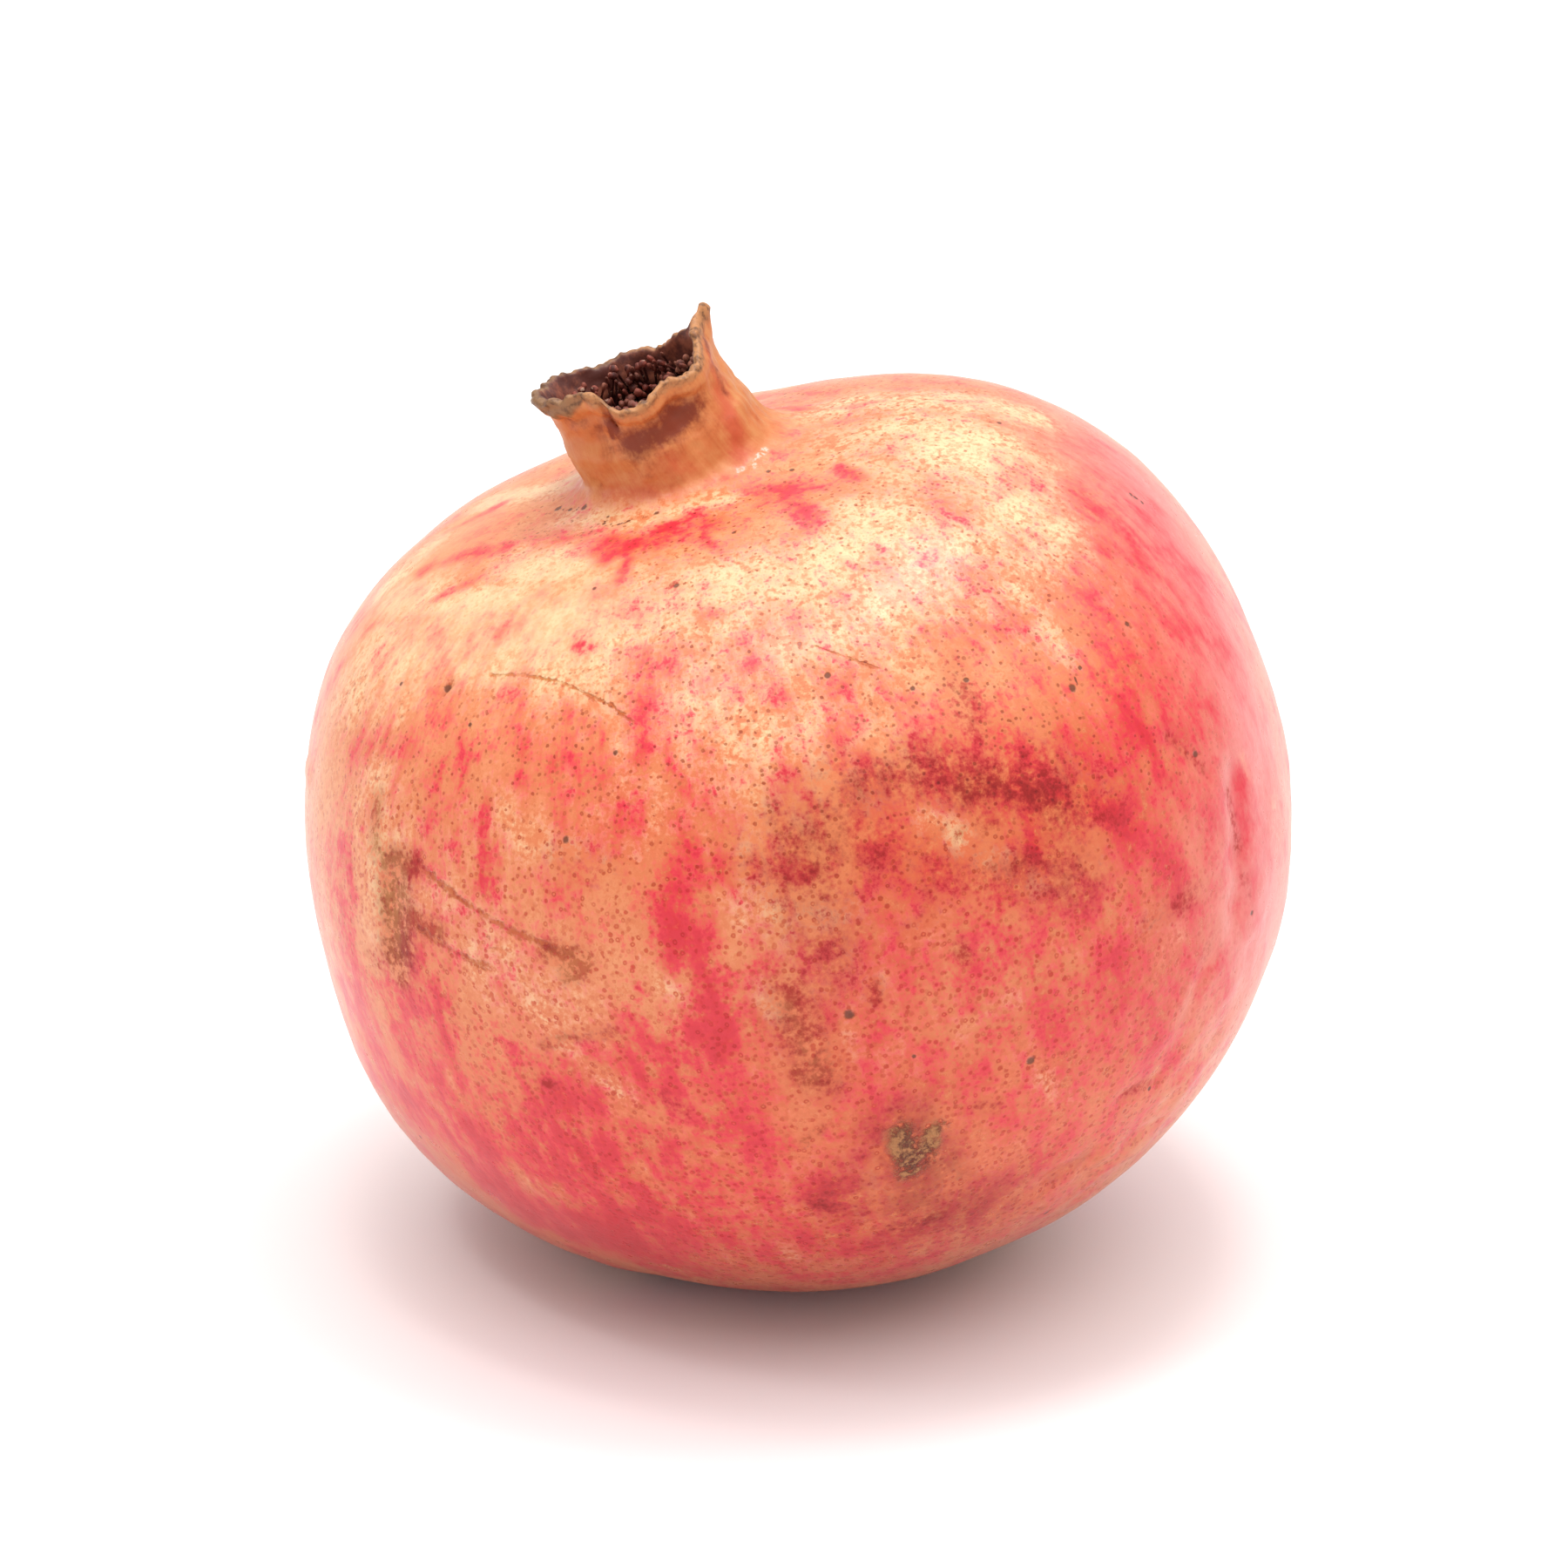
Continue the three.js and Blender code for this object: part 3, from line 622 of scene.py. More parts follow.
# %% Cork, scab and stains
RUSSET = [
    (14, 0.8, (432, 915), (430, 975)), (15, 1.1, (440, 985), (475, 995)), (26, 1.3, (450, 1015), (456, 1085)),
    (15, 1.1, (466, 1052), (500, 1070)), (15, 1.1, (447, 1090), (462, 1122)), (8, 0.55, (420, 1090), (440, 1112)),
    (13, 1.2, (630, 1092), (672, 1100)), (11, 1.1, (650, 1120), (675, 1112)), (26, 0.5, (890, 945), (935, 990)),
    (34, 0.45, (866, 985), (905, 1030)), (30, 0.7, (905, 1145), (945, 1235)),
    (12, 0.75, (1004, 1132), (1006, 1148)), (6, 1.0, (912, 1226), (924, 1244)),
    (22, 0.75, (1110, 905), (1150, 895), (1205, 925)), (6, 0.8, (1072, 957), (1106, 952)),
    (7, 0.7, (1122, 950), (1145, 948)), (9, 0.75, (1138, 998), (1198, 988)), (10, 0.5, (1035, 1072), (1062, 1055)),
    (8, 0.5, (1062, 1015), (1072, 1060)), (8, 0.95, (1102, 1088), (1112, 1102)),
    (7, 0.9, (1000, 1132), (1008, 1150)), (18, 0.5, (1315, 1060), (1370, 1025)),
    (10, 0.65, (1412, 905), (1428, 975)), (7, 0.5, (1430, 1000), (1438, 1030)),
    (9, 0.75, (1124, 1270), (1144, 1272)), (9, 0.75, (1296, 1258), (1322, 1244)),
    (8, 0.8, (922, 1312), (944, 1292)), (8, 0.75, (622, 1202), (650, 1190), (706, 1186)),
    (6, 0.75, (618, 1240), (640, 1250)), (12, 0.5, (760, 1262), (786, 1275)), (9, 0.6, (1094, 758), (1104, 782)),
    (9, 0.5, (1116, 828), (1130, 842)), (6, 0.65, (1342, 845), (1384, 885)), (5, 0.95, (766, 674), (783, 671)),
    (5, 1.0, (507, 797), (516, 783)), (10, 0.5, (1020, 1410), (1080, 1395)), (14, 0.45, (930, 1380), (960, 1390)),
    (12, 0.4, (1380, 1100), (1400, 1060)), (40, 0.5, (960, 890), (1050, 885), (1130, 890)),
    (50, 0.45, (960, 950), (1080, 1000), (1240, 1000)), (50, 0.5, (1180, 880), (1260, 930)),
    (44, 0.4, (940, 1020), (960, 1120)), (26, 0.5, (1090, 760), (1120, 830)), (30, 0.35, (640, 980), (700, 1000)),
]
SCAB = [
    (17, 1.0, (1036, 1302), (1044, 1340)), (12, 0.9, (1046, 1334), (1068, 1312)),
    (9, 0.8, (1066, 1300), (1082, 1292)), (8, 0.7, (1072, 1318), (1062, 1340)),
]
STAINS = [
    (70, 0.5, (890, 950), (960, 1000), (930, 1060)), (50, 0.4, (905, 1150), (945, 1235)),
    (50, 0.6, (1110, 905), (1205, 930)), (40, 0.7, (448, 1000), (455, 1090)), (50, 0.5, (1000, 900), (1080, 880)),
    (40, 0.5, (1180, 1000), (1240, 1010)), (60, 1.3, (1040, 1310), (1065, 1345), (1050, 1370)),
    (90, 0.8, (1000, 1370), (1060, 1400), (1120, 1385)), (40, 0.6, (960, 1350), (1000, 1330)),
    (26, 1.0, (1095, 1330), (1105, 1350)), (18, 0.9, (1212, 1355), (1245, 1335)),
]
cream_and_highlight, russet, scab, stain = (strokes(marks) for marks in (CREAM_AND_HIGHLIGHT, RUSSET, SCAB, STAINS))
print("patches of cork:", len(RUSSET), "of scab:", len(SCAB), "stains:", len(STAINS))

# %% [markdown]
# ## The sides that the photograph does not show
# The back and the stem end get marks of the same kinds and sizes, from a seeded field of waves, and their
# strength fades in where the photograph's view ends. Waves with random directions add up to soft, cloud-like
# blots that have no seam anywhere.

# %% A seamless field of waves


def waves(points, wavelength, seed, count=28):
    """The sum of plane waves with seeded directions and phases, scaled to a spread of about one."""
    random = np.random.default_rng(seed)
    heading = random.normal(size=(count, 3))
    heading *= 2 * math.pi / wavelength / np.linalg.norm(heading, axis=1, keepdims=True)
    heading *= random.uniform(0.6, 1.6, (count, 1))
    phase = random.uniform(0, 2 * math.pi, count)
    return np.cos(points @ heading.T + phase).sum(-1) * math.sqrt(2 / count)


def grid_normals(grid):
    """Outward unit normals of the grid, from the steps to the points beside and above."""
    around_step = np.roll(grid, -1, axis=1) - np.roll(grid, 1, axis=1)
    up_step = np.gradient(grid, axis=0)
    normal = np.cross(around_step, up_step)
    length = np.linalg.norm(normal, axis=-1, keepdims=True)
    normal = normal / np.maximum(length, 1e-9)
    normal[0], normal[-1] = normal[1].mean(0), normal[-2].mean(0)
    return normal


NORMALS = closed_grid_points(grid_normals(skin))
hidden = 1 - smoothstep(-0.15, 0.25, NORMALS @ TOWARD)
print("share of the skin that the photograph hides:", round(float(hidden.mean()), 2))

# %% A space for streaks along the meridians
# The turn counts in full, the way up the outline only by this stretch, so noise in it is long and narrow
MERIDIAN_RADIUS = 40.0
MERIDIAN_STRETCH = 0.3


def per_point(values):
    """Numbers given for the grid's rows or columns, spread over all the points of the closed grid."""
    return closed_grid_points(np.broadcast_to(np.asarray(values)[..., None], skin.shape[:2] + (3,)))[:, 0]


row_of_point = per_point(np.arange(len(ROWS))[:, None])
turn_of_point = per_point(TURNS[None, :])
radius_of_point, _, wall_of_point, rise_of_point, _, _, inside_of_point = ROWS[row_of_point].T
travelled = np.concatenate([[0], np.cumsum(np.linalg.norm(np.diff(ROWS[:, :2], axis=0), axis=1))])
streak_space = np.stack([MERIDIAN_RADIUS * cosine(turn_of_point), MERIDIAN_RADIUS * sine(turn_of_point),
                         travelled[row_of_point] * MERIDIAN_STRETCH], -1)
print("the outline is", round(float(travelled[-1])), "mm long from pole to pole")

# %% Marks of the hidden side
back_red = smoothstep(-0.3, 1.4, waves(streak_space, 22, 11) * 0.7 + waves(streak_space, 9, 12) * 0.5)
back_russet = smoothstep(1.3, 2.4, waves(POINTS, 26, 21) + 0.5 * waves(POINTS, 9, 22))
back_yellow = smoothstep(0.0, 1.6, waves(POINTS, 40, 31))
red = np.maximum(red, hidden * back_red)
russet = np.maximum(russet, hidden * back_russet)
cream_and_highlight = np.maximum(cream_and_highlight, hidden * back_yellow)
print("strongest cork behind", round(float((hidden * back_russet).max()), 2))

# %% [markdown]
# ## Dents, wrinkles and the scab
# The rind is never quite smooth. Broad waves, about a tenth of a millimetre high, make the light wander over it,
# the lower right has shrunk into shallow wrinkles, knocks have left small dents, and the scab stands up. All
# this is real relief, moved along the normals, so it also shows at the outline.

# %% Relief of the skin
DENTS = [
    (16, -0.55, (1205, 1358), (1250, 1335)), (12, -0.4, (1290, 1262), (1330, 1240)),
    (22, -0.6, (1418, 895), (1425, 960), (1422, 1045)), (14, -0.35, (1345, 850), (1385, 885)),
    (10, -0.35, (1290, 1315), (1330, 1290)), (12, -0.35, (1370, 1150), (1385, 1110)),
    (6, -0.35, (506, 798), (517, 784)), (8, -0.3, (1098, 1090), (1112, 1104)),
    (16, -0.25, (450, 1020), (455, 1090)), (14, 0.25, (352, 880), (354, 890)), (5, -0.3, (972, 1166), (979, 1166)),
    (5, -0.3, (766, 674), (780, 672)),
]
SHRUNK = [(90, 1.0, (1380, 1180), (1330, 1280), (1240, 1370)), (50, 0.8, (1430, 980), (1440, 1080))]
# Each set of waves: height and wavelength in millimetres, and seed
BODY_WAVES = [(0.10, 34, 41), (0.045, 13, 42), (0.012, 5, 43)]
WRINKLES = [(0.11, 8, 45), (0.05, 4, 46)]
CROWN_WAVES = [(0.05, 3.2, 48), (0.03, 1.6, 49)]
WRINKLE_SQUEEZE = np.array([1.0, 1.0, 1.7])
SCAB_HEIGHT = 0.22


def wavy(points, sets):
    """The sum of several sets of waves."""
    return sum(height * waves(points, wavelength, seed) for height, wavelength, seed in sets)


def relief():
    """Height over the smooth skin, in millimetres: dents as soft bands, broad waves, wrinkles where the rind
    has shrunk, and the rough scab."""
    height = np.zeros(len(POINTS))
    for width, depth, *spots in DENTS:
        height += depth * bell(away_from(cast(split(spots))) * PIXELS_PER_MM / width)
    body = 1 - smoothstep(0.0, 0.4, wall_of_point)
    shrunk = np.maximum(strokes(SHRUNK), hidden * smoothstep(0.6, 1.6, waves(POINTS, 60, 44)) * 0.7)
    height += body * (wavy(POINTS, BODY_WAVES) + shrunk * wavy(POINTS * WRINKLE_SQUEEZE, WRINKLES))
    height += scab * SCAB_HEIGHT * (1 + waves(POINTS, 2.6, 47))
    return height + (1 - body) * wavy(POINTS, CROWN_WAVES)


height = relief()
points = POINTS + NORMALS * height[:, None]
points[:, 2] = np.maximum(points[:, 2], 0.0)
rind = make_piece("rind", points, skin_quads, skin_fans)
print("relief from", round(float(height.min()), 2), "to", round(float(height.max()), 2), "mm")

# %% [markdown]
# ## Marks finer than the mesh
# Scratches and specks are about half a millimetre wide, less than a face of the mesh. So each point near one
# stores where it lies in the mark's own small frame: how far across it and how far along. The material
# interpolates those numbers over the faces and draws the mark with a crisp edge at any size.

# %% Scratches and specks
SCRATCHES = [
    (4.4, (485, 998), (526, 1031), (561, 1055), (591, 1071), (618, 1080), (640, 1092), (660, 1096)),
    (4.4, (478, 1064), (501, 1080), (524, 1094), (547, 1106), (561, 1108)),
    (2.6, (562, 774), (600, 775), (642, 783), (673, 797), (702, 810), (726, 829)),
    (1.8, (935, 742), (990, 762), (1010, 768)),
]
SPECKS = [
    (3, 460, 785), (4.6, 512, 789), (3.6, 776, 672), (3, 683, 677), (4, 650, 964), (4.4, 1231, 790),
    (2.6, 1240, 767), (4, 1374, 866), (5.5, 975, 1166), (5, 1183, 1217), (2.6, 1050, 1214), (3.4, 1201, 1392),
    (4.4, 640, 582), (3, 654, 584), (4.6, 670, 582), (3.4, 754, 589), (2.2, 694, 602), (2.2, 711, 603),
    (2.4, 722, 599), (2.2, 698, 593), (2.8, 882, 540), (2.8, 909, 538), (2.4, 842, 611), (2.4, 540, 832),
    (3, 706, 864), (3, 1147, 487), (3, 1298, 568), (3, 1311, 577), (3, 1293, 717), (3.4, 950, 776), (3, 1110, 780),
    (3, 483, 1305), (3, 1048, 790), (3.2, 1437, 1048), (3, 1322, 1252),
]
NEAR_SCRATCH = 1.6
NEAR_SPECK = 0.95
FAR_AWAY = 9.0
print("scratches:", len(SCRATCHES), "specks:", len(SPECKS))

# %% The small frame of each scratch


def across_and_along(line):
    """For every skin point: its signed distance across the nearest stretch of the line, over the skin, and its
    place along it as a share of the whole."""
    best = np.full(len(POINTS), np.inf)
    across, along_share = np.zeros(len(POINTS)), np.zeros(len(POINTS))
    lengths = np.linalg.norm(np.diff(line, axis=0), axis=1)
    done = np.concatenate([[0], np.cumsum(lengths)])
    for k, (start, end) in enumerate(zip(line[:-1], line[1:])):
        heading = (end - start) / lengths[k]
        offset = POINTS - start
        along = offset @ heading
        inside = np.clip(along, 0, lengths[k])
        distance = np.linalg.norm(offset - inside[:, None] * heading, axis=1)
        side = np.einsum("ij,ij->i", np.cross(NORMALS, heading), offset)
        closer = distance < best
        best = np.where(closer, distance, best)
        across = np.where(closer, side, across)
        reached = along if k in (0, len(lengths) - 1) else inside
        along_share = np.where(closer, (done[k] + reached) / done[-1], along_share)
    return best, across, along_share


def scratch_frame():
    """Across over the half width, along as a share, and 1 near a scratch."""
    frame_of_point = np.zeros((len(POINTS), 3))
    nearest = np.full(len(POINTS), np.inf)
    for half_width, *spots in SCRATCHES:
        distance, across, along = across_and_along(cast(split(spots, 20)))
        closer = distance < nearest
        values = np.stack([across * PIXELS_PER_MM / half_width, along, distance < NEAR_SCRATCH], -1)
        frame_of_point[closer] = values[closer]
        nearest = np.minimum(nearest, distance)
    return frame_of_point


scratch_of_point = scratch_frame()
print("points near a scratch:", int(scratch_of_point[:, 2].sum()))

# %% The small frame of each speck


def speck_frame():
    """Two steps over the skin from the nearest speck's middle, over its radius, and 1 near it."""
    frame_of_point = np.zeros((len(POINTS), 3))
    frame_of_point[:, 0] = FAR_AWAY
    nearest = np.full(len(POINTS), np.inf)
    for radius, x, y in SPECKS:
        for middle in cast([(x, y)]):
            offset = POINTS - middle
            distance = np.linalg.norm(offset, axis=1)
            normal = NORMALS[np.argmin(distance)]
            first = np.cross(normal, (0, 0, 1))
            first /= np.linalg.norm(first)
            second = np.cross(normal, first)
            scale = PIXELS_PER_MM / radius
            closer = distance < nearest
            is_near = distance < NEAR_SPECK + 1.3 / scale
            values = np.stack([offset @ first * scale, offset @ second * scale, is_near], -1)
            frame_of_point[closer] = values[closer]
            nearest = np.minimum(nearest, distance)
    return frame_of_point


speck_of_point = speck_frame()
print("points near a speck:", int(speck_of_point[:, 2].sum()))

# %% Keeping it all on the mesh


def store(piece, name, values):
    """Keeps one number, or one vector, for each point of the mesh under a name that a material can read."""
    flat = np.asarray(values, np.float32)
    kind, key = ("FLOAT", "value") if flat.ndim == 1 else ("FLOAT_VECTOR", "vector")
    attribute = piece.data.attributes.new(name, kind, "POINT")
    attribute.data.foreach_set(key, flat.ravel())


looks = {
    "red": red, "ripe": ripe, "calm": calm, "rosy": rosy, "patchy": patchy, "cream_and_highlight": cream_and_highlight, "russet": russet,
    "scab": scab, "stain": stain, "scratch": scratch_of_point, "speck": speck_of_point,
    "streak_space": streak_space,
    "girth": smoothstep(0.35, 0.85, radius_of_point / EQUATOR_RADIUS), "crown": wall_of_point,
    "rise": rise_of_point, "inside": inside_of_point,
}
for name, values in looks.items():
    store(rind, name, values)
print("the rind keeps", len(looks), "looks")

# %% [markdown]
# ## Building a finish from nodes
# A material is a small network: numbers come in from the surface, are bent and mixed, and end in the shader's
# sockets. Networks are usually drawn by hand in the shader editor. Here a few helpers write them, so that each
# line of code is one step of the recipe. A socket knows the network it belongs to, so a helper puts its node
# into the network of the first value that it is given.

# %% Helpers that write material nodes


def new_finish(name):
    """A material with an empty network, its shader and its output."""
    material = bpy.data.materials.new(name)
    material.use_nodes = True
    tree = material.node_tree
    tree.nodes.clear()
    shader = tree.nodes.new("ShaderNodeBsdfPrincipled")
    output = tree.nodes.new("ShaderNodeOutputMaterial")
    tree.links.new(shader.outputs["BSDF"], output.inputs["Surface"])
    return material, tree, shader


def feed(socket, value):
    """Joins a socket to another node's output, or sets it to a number or a colour."""
    if isinstance(value, bpy.types.NodeSocket):
        socket.id_data.links.new(value, socket)
    else:
        socket.default_value = (*value, 1.0) if isinstance(value, tuple) else value


def feed_shader(shader, values):
    """Feeds several sockets of a shader by their names."""
    for name, value in values.items():
        feed(shader.inputs[name], value)


print("a finish starts as a shader and an output")

# %% Arithmetic in a network


def math_step(operation, *values):
    """One arithmetic step on numbers; the first is always another node's."""
    node = values[0].id_data.nodes.new("ShaderNodeMath")
    node.operation = operation
    for socket, value in zip(node.inputs, values):
        feed(socket, value)
    return node.outputs[0]


def times(first, second):
    """The product of two numbers."""
    return math_step("MULTIPLY", first, second)


def plus(*values):
    """The sum of several numbers."""
    total = values[0]
    for value in values[1:]:
        total = math_step("ADD", total, value)
    return total


def scaled(value, factor, offset):
    """A number times a factor, plus an offset."""
    return math_step("MULTIPLY_ADD", value, factor, offset)


def soft_edge(value, low, high):
    """0 below low, 1 above high, smooth between; low may be the larger, which turns it round."""
    node = value.id_data.nodes.new("ShaderNodeMapRange")
    node.interpolation_type = "SMOOTHSTEP"
    feed(node.inputs["Value"], value)
    ends = (low, high, 0.0, 1.0) if low < high else (high, low, 1.0, 0.0)
    for name, end in zip(("From Min", "From Max", "To Min", "To Max"), ends):
        node.inputs[name].default_value = end
    return node.outputs["Result"]


print("numbers can be added, multiplied and given soft edges")

# %% Colours, patterns and what the mesh keeps


def mixed(share, under, over, blend="MIX"):
    """One colour laid over another by a share."""
    node = share.id_data.nodes.new("ShaderNodeMix")
    node.data_type = "RGBA"
    node.blend_type = blend
    feed(node.inputs["Factor"], share)
    feed(node.inputs[6], under)
    feed(node.inputs[7], over)
    return node.outputs[2]


def noise(space, scale, detail=3.0, roughness=0.55, distortion=0.0):
    """Cloudy noise from 0 to 1 around a half; scale is in features to the unit of the space."""
    node = space.id_data.nodes.new("ShaderNodeTexNoise")
    feed(node.inputs["Vector"], space)
    for name, value in (("Scale", scale), ("Detail", detail), ("Roughness", roughness), ("Distortion", distortion)):
        node.inputs[name].default_value = value
    return node.outputs["Fac"]


def cells(space, scale):
    """Scattered cells: the distance to the nearest middle, and a random colour for each cell."""
    node = space.id_data.nodes.new("ShaderNodeTexVoronoi")
    feed(node.inputs["Vector"], space)
    node.inputs["Scale"].default_value = scale
    return node.outputs


def parts_of(vector):
    """The three numbers of a vector."""
    node = vector.id_data.nodes.new("ShaderNodeSeparateXYZ")
    feed(node.inputs[0], vector)
    return node.outputs


def bumped(height, distance):
    """A surface normal tilted by a height; distance is how many metres a height of 1 stands for."""
    node = height.id_data.nodes.new("ShaderNodeBump")
    node.inputs["Strength"].default_value = 1.0
    node.inputs["Distance"].default_value = distance
    feed(node.inputs["Height"], height)
    return node.outputs["Normal"]


def stored(tree, name, output="Fac"):
    """What the mesh keeps under a name."""
    node = tree.nodes.new("ShaderNodeAttribute")
    node.attribute_name = name
    return node.outputs[output]


def object_space(tree):
    """Position on the piece, in metres."""
    return tree.nodes.new("ShaderNodeTexCoord").outputs["Object"]


print("colours can be mixed by noise, cells and kept numbers")

# %% [markdown]
# ## Colours of the rind
# The rind's ground runs from cream to peach and, below, salmon. Red lies over it in streaks that follow the
# meridians. The broad amounts come from the strokes kept on the mesh; noise of several sizes is added to them
# before a soft edge turns the sum into a share, because a brush stroke with a clean edge is what gives a painted
# fruit away. Weak marks that must stay where they are, cork and stains, are multiplied with noise instead: where
# the stroke is zero, nothing can appear.

# %% Noise of several sizes
rind_finish, skin_net, skin_shader = new_finish("rind")
place = object_space(skin_net)
standing = parts_of(place)[2]
streak_place = stored(skin_net, "streak_space", "Vector")
NOISES = {
    "cloud": noise(place, 70, 4), "medium": noise(place, 190, 4, 0.62), "fine": noise(place, 480, 4, 0.68),
    "grain": noise(place, 1700, 3, 0.65), "streaks": noise(streak_place, 0.16, 4, 0.62, 0.3),
    "fine_streaks": noise(streak_place, 0.75, 4, 0.65, 0.2), "tube_streaks": noise(streak_place, 0.55, 3, 0.6),
}
fine, grain = NOISES["fine"], NOISES["grain"]


def kept(name):
    """A number that the rind keeps under a name."""
    return stored(skin_net, name)


def uneven(**weights):
    """The noises of these names, each moved to lie about zero, weighted and added."""
    return plus(*(scaled(NOISES[name], weight, -0.5 * weight) for name, weight in weights.items()))


def frayed_share(name, low, high, **weights):
    """A kept number with noises added, then a soft edge: the noise also draws outside the stroke."""
    return soft_edge(plus(kept(name), uneven(**weights)), low, high)


def local_share(name, low, high, offset, **weights):
    """A kept number times the noises and an offset, then a soft edge: nothing is drawn outside the stroke."""
    return soft_edge(times(kept(name), plus(uneven(**weights), offset)), low, high)


lively = scaled(kept("calm"), -0.6, 1.0)
freckles = times(uneven(fine=2.5, grain=2.2), lively)
streak_share = times(uneven(streaks=1.4, fine_streaks=1.5), kept("girth"))
bands = times(plus(streak_share, uneven(medium=2.2)), plus(kept("patchy"), 1.0))
print(len(NOISES), "noises, from clouds of", round(1000 / 70), "mm to a grain of", round(1000 / 1700, 1), "mm")

# %% The ground and the red
CREAM = (0.80, 0.55, 0.30)
PEACH = (0.75, 0.335, 0.15)
SALMON = (0.70, 0.18, 0.076)
ROSE = (0.76, 0.21, 0.19)
BLUSH = (0.70, 0.038, 0.058)
DEEP_RED = (0.52, 0.012, 0.024)
FRECKLE = (0.88, 0.56, 0.50)
# Painted shade: a darker tint that the rind's lowest part takes in place of the shade beneath it
UNDERSIDE_SHADE = (0.72, 0.62, 0.62)

ripeness = plus(kept("ripe"), uneven(cloud=1.2), times(uneven(streaks=1.0), kept("girth")), freckles)
ground = mixed(soft_edge(ripeness, 0.05, 0.95), PEACH, SALMON)
ground = mixed(kept("rosy"), ground, ROSE)
# Cream over the ground: partly the rind's own, partly painted highlight along the shoulder's shine
ground = mixed(soft_edge(plus(kept("cream_and_highlight"), uneven(cloud=1.2), freckles), 0.1, 1.05), ground, CREAM)

broken_red = plus(kept("red"), bands, freckles)
colour = mixed(soft_edge(broken_red, -0.15, 1.1), ground, BLUSH)
colour = mixed(times(soft_edge(broken_red, 0.8, 1.5), 0.5), colour, DEEP_RED)
speckled = soft_edge(plus(grain, uneven(fine=0.8)), 0.60, 0.33)
colour = mixed(times(speckled, lively), colour, FRECKLE, "MULTIPLY")
# Painted shade: multiplied in fully below 4 mm over the floor and fading out by 24 mm, darkening the underside
colour = mixed(soft_edge(standing, 0.024, 0.004), colour, UNDERSIDE_SHADE, "MULTIPLY")
print("ground and red use", len(skin_net.nodes), "nodes")

# %% Cork and stains, as tints that darken what lies under them
CORK_TINT = (0.59, 0.36, 0.22)
STAIN_TINT = (0.62, 0.56, 0.40)

russet_share = local_share("russet", 0.02, 1.0, 0.82, fine=3.6, grain=4.4, medium=1.8)
colour = mixed(russet_share, colour, CORK_TINT, "MULTIPLY")
stain_share = local_share("stain", 0.0, 1.25, 0.9, fine=2.4, medium=2.4, grain=1.4)
colour = mixed(stain_share, colour, STAIN_TINT, "MULTIPLY")
print("with cork and stains", len(skin_net.nodes), "nodes")

# %% [markdown]
# ## Lenticels
# The rind breathes through pores: on the lower half small red-brown rings with a lighter middle or plugged dots,
# on the shoulder finer dots. Scattered cells place them, and a ring is where the distance to the nearest cell's
# middle passes through one value. Each cell also draws random numbers, here how strong the pore is and whether
# it is plugged. The pore darkens what lies under it, so it is browner on cream than on red.

# %% Pores as soft rings and dots
PORES_PER_METRE = 1600
PORE_RIM = 0.25
PORE_TINT = (0.74, 0.33, 0.26)
UPPER_PORE_TINT = (0.52, 0.33, 0.25)

pore_cells = cells(place, PORES_PER_METRE)
strength, filled, _ = parts_of(pore_cells["Color"])
upper = soft_edge(standing, 0.045, 0.065)
pore_away = times(plus(pore_cells["Distance"], uneven(grain=0.6)), scaled(upper, 0.5, 1.0))
plugged = times(soft_edge(filled, 0.35, 0.65), PORE_RIM)
plugged = math_step("MAXIMUM", plugged, times(upper, PORE_RIM))
ring = plus(math_step("MAXIMUM", pore_away, plugged), -PORE_RIM)
ring = soft_edge(math_step("ABSOLUTE", ring), 0.22, 0.02)
body_share = soft_edge(kept("crown"), 0.25, 0.02)
pores = times(times(ring, scaled(strength, 0.9, 0.1)), times(body_share, times(lively, lively)))
colour = mixed(pores, colour, mixed(upper, PORE_TINT, UPPER_PORE_TINT), "MULTIPLY")
print("pores about", round(1000 / PORES_PER_METRE, 2), "mm apart")

# %% [markdown]
# ## Scratches, specks and the scab
# The mesh keeps each scratch's and speck's own small frame. A line is where the distance across is below one,
# a speck where the distance from its middle is below one, and noise frays both. The scab is a stroke multiplied
# with noise, like the cork, but it covers the rind instead of tinting it.

# %% Drawing the fine marks
SCRATCH_TINT = (0.68, 0.44, 0.22)
DARK_CORK = (0.11, 0.030, 0.011)
SCAB_LIGHT = (0.42, 0.19, 0.07)
SCAB_DARK = (0.09, 0.034, 0.015)

across, along, near_scratch = parts_of(stored(skin_net, "scratch", "Vector"))
frayed = plus(math_step("ABSOLUTE", across), uneven(fine=2.6, grain=3.4))
from_middle = math_step("ABSOLUTE", plus(along, -0.5))
line = times(times(soft_edge(frayed, 1.3, 0.2), soft_edge(from_middle, 0.53, 0.47)), near_scratch)
worn = soft_edge(noise(place, 420, 2), 0.36, 0.60)
line = times(line, scaled(worn, 0.55, 0.45))
colour = mixed(line, colour, SCRATCH_TINT, "MULTIPLY")

speck_x, speck_y, near_speck = parts_of(stored(skin_net, "speck", "Vector"))
speck_away = math_step("SQRT", plus(times(speck_x, speck_x), times(speck_y, speck_y)))
speck = times(soft_edge(plus(speck_away, uneven(grain=1.0, fine=0.6)), 1.25, 0.6), near_speck)
colour = mixed(times(speck, 0.85), colour, DARK_CORK)

scab_share = local_share("scab", 0.10, 0.85, 0.95, fine=2.8, grain=2.4)
scab_colour = mixed(soft_edge(plus(grain, uneven(fine=1.2)), 0.40, 0.66), SCAB_DARK, SCAB_LIGHT)
colour = mixed(times(scab_share, 0.9), colour, scab_colour)
print("fine marks drawn,", len(skin_net.nodes), "nodes so far")

# %% [markdown]
# ## Marks of the crown
# A purplish bruise lies under the lip in front, the flesh glows redder on the right and at the foot, and a white
# scuff runs where the foot meets the shoulder. They are strokes like those of the rind. The torn edge has dried
# grey on the left and stayed tan in front, so that is kept by the turn round the tube.

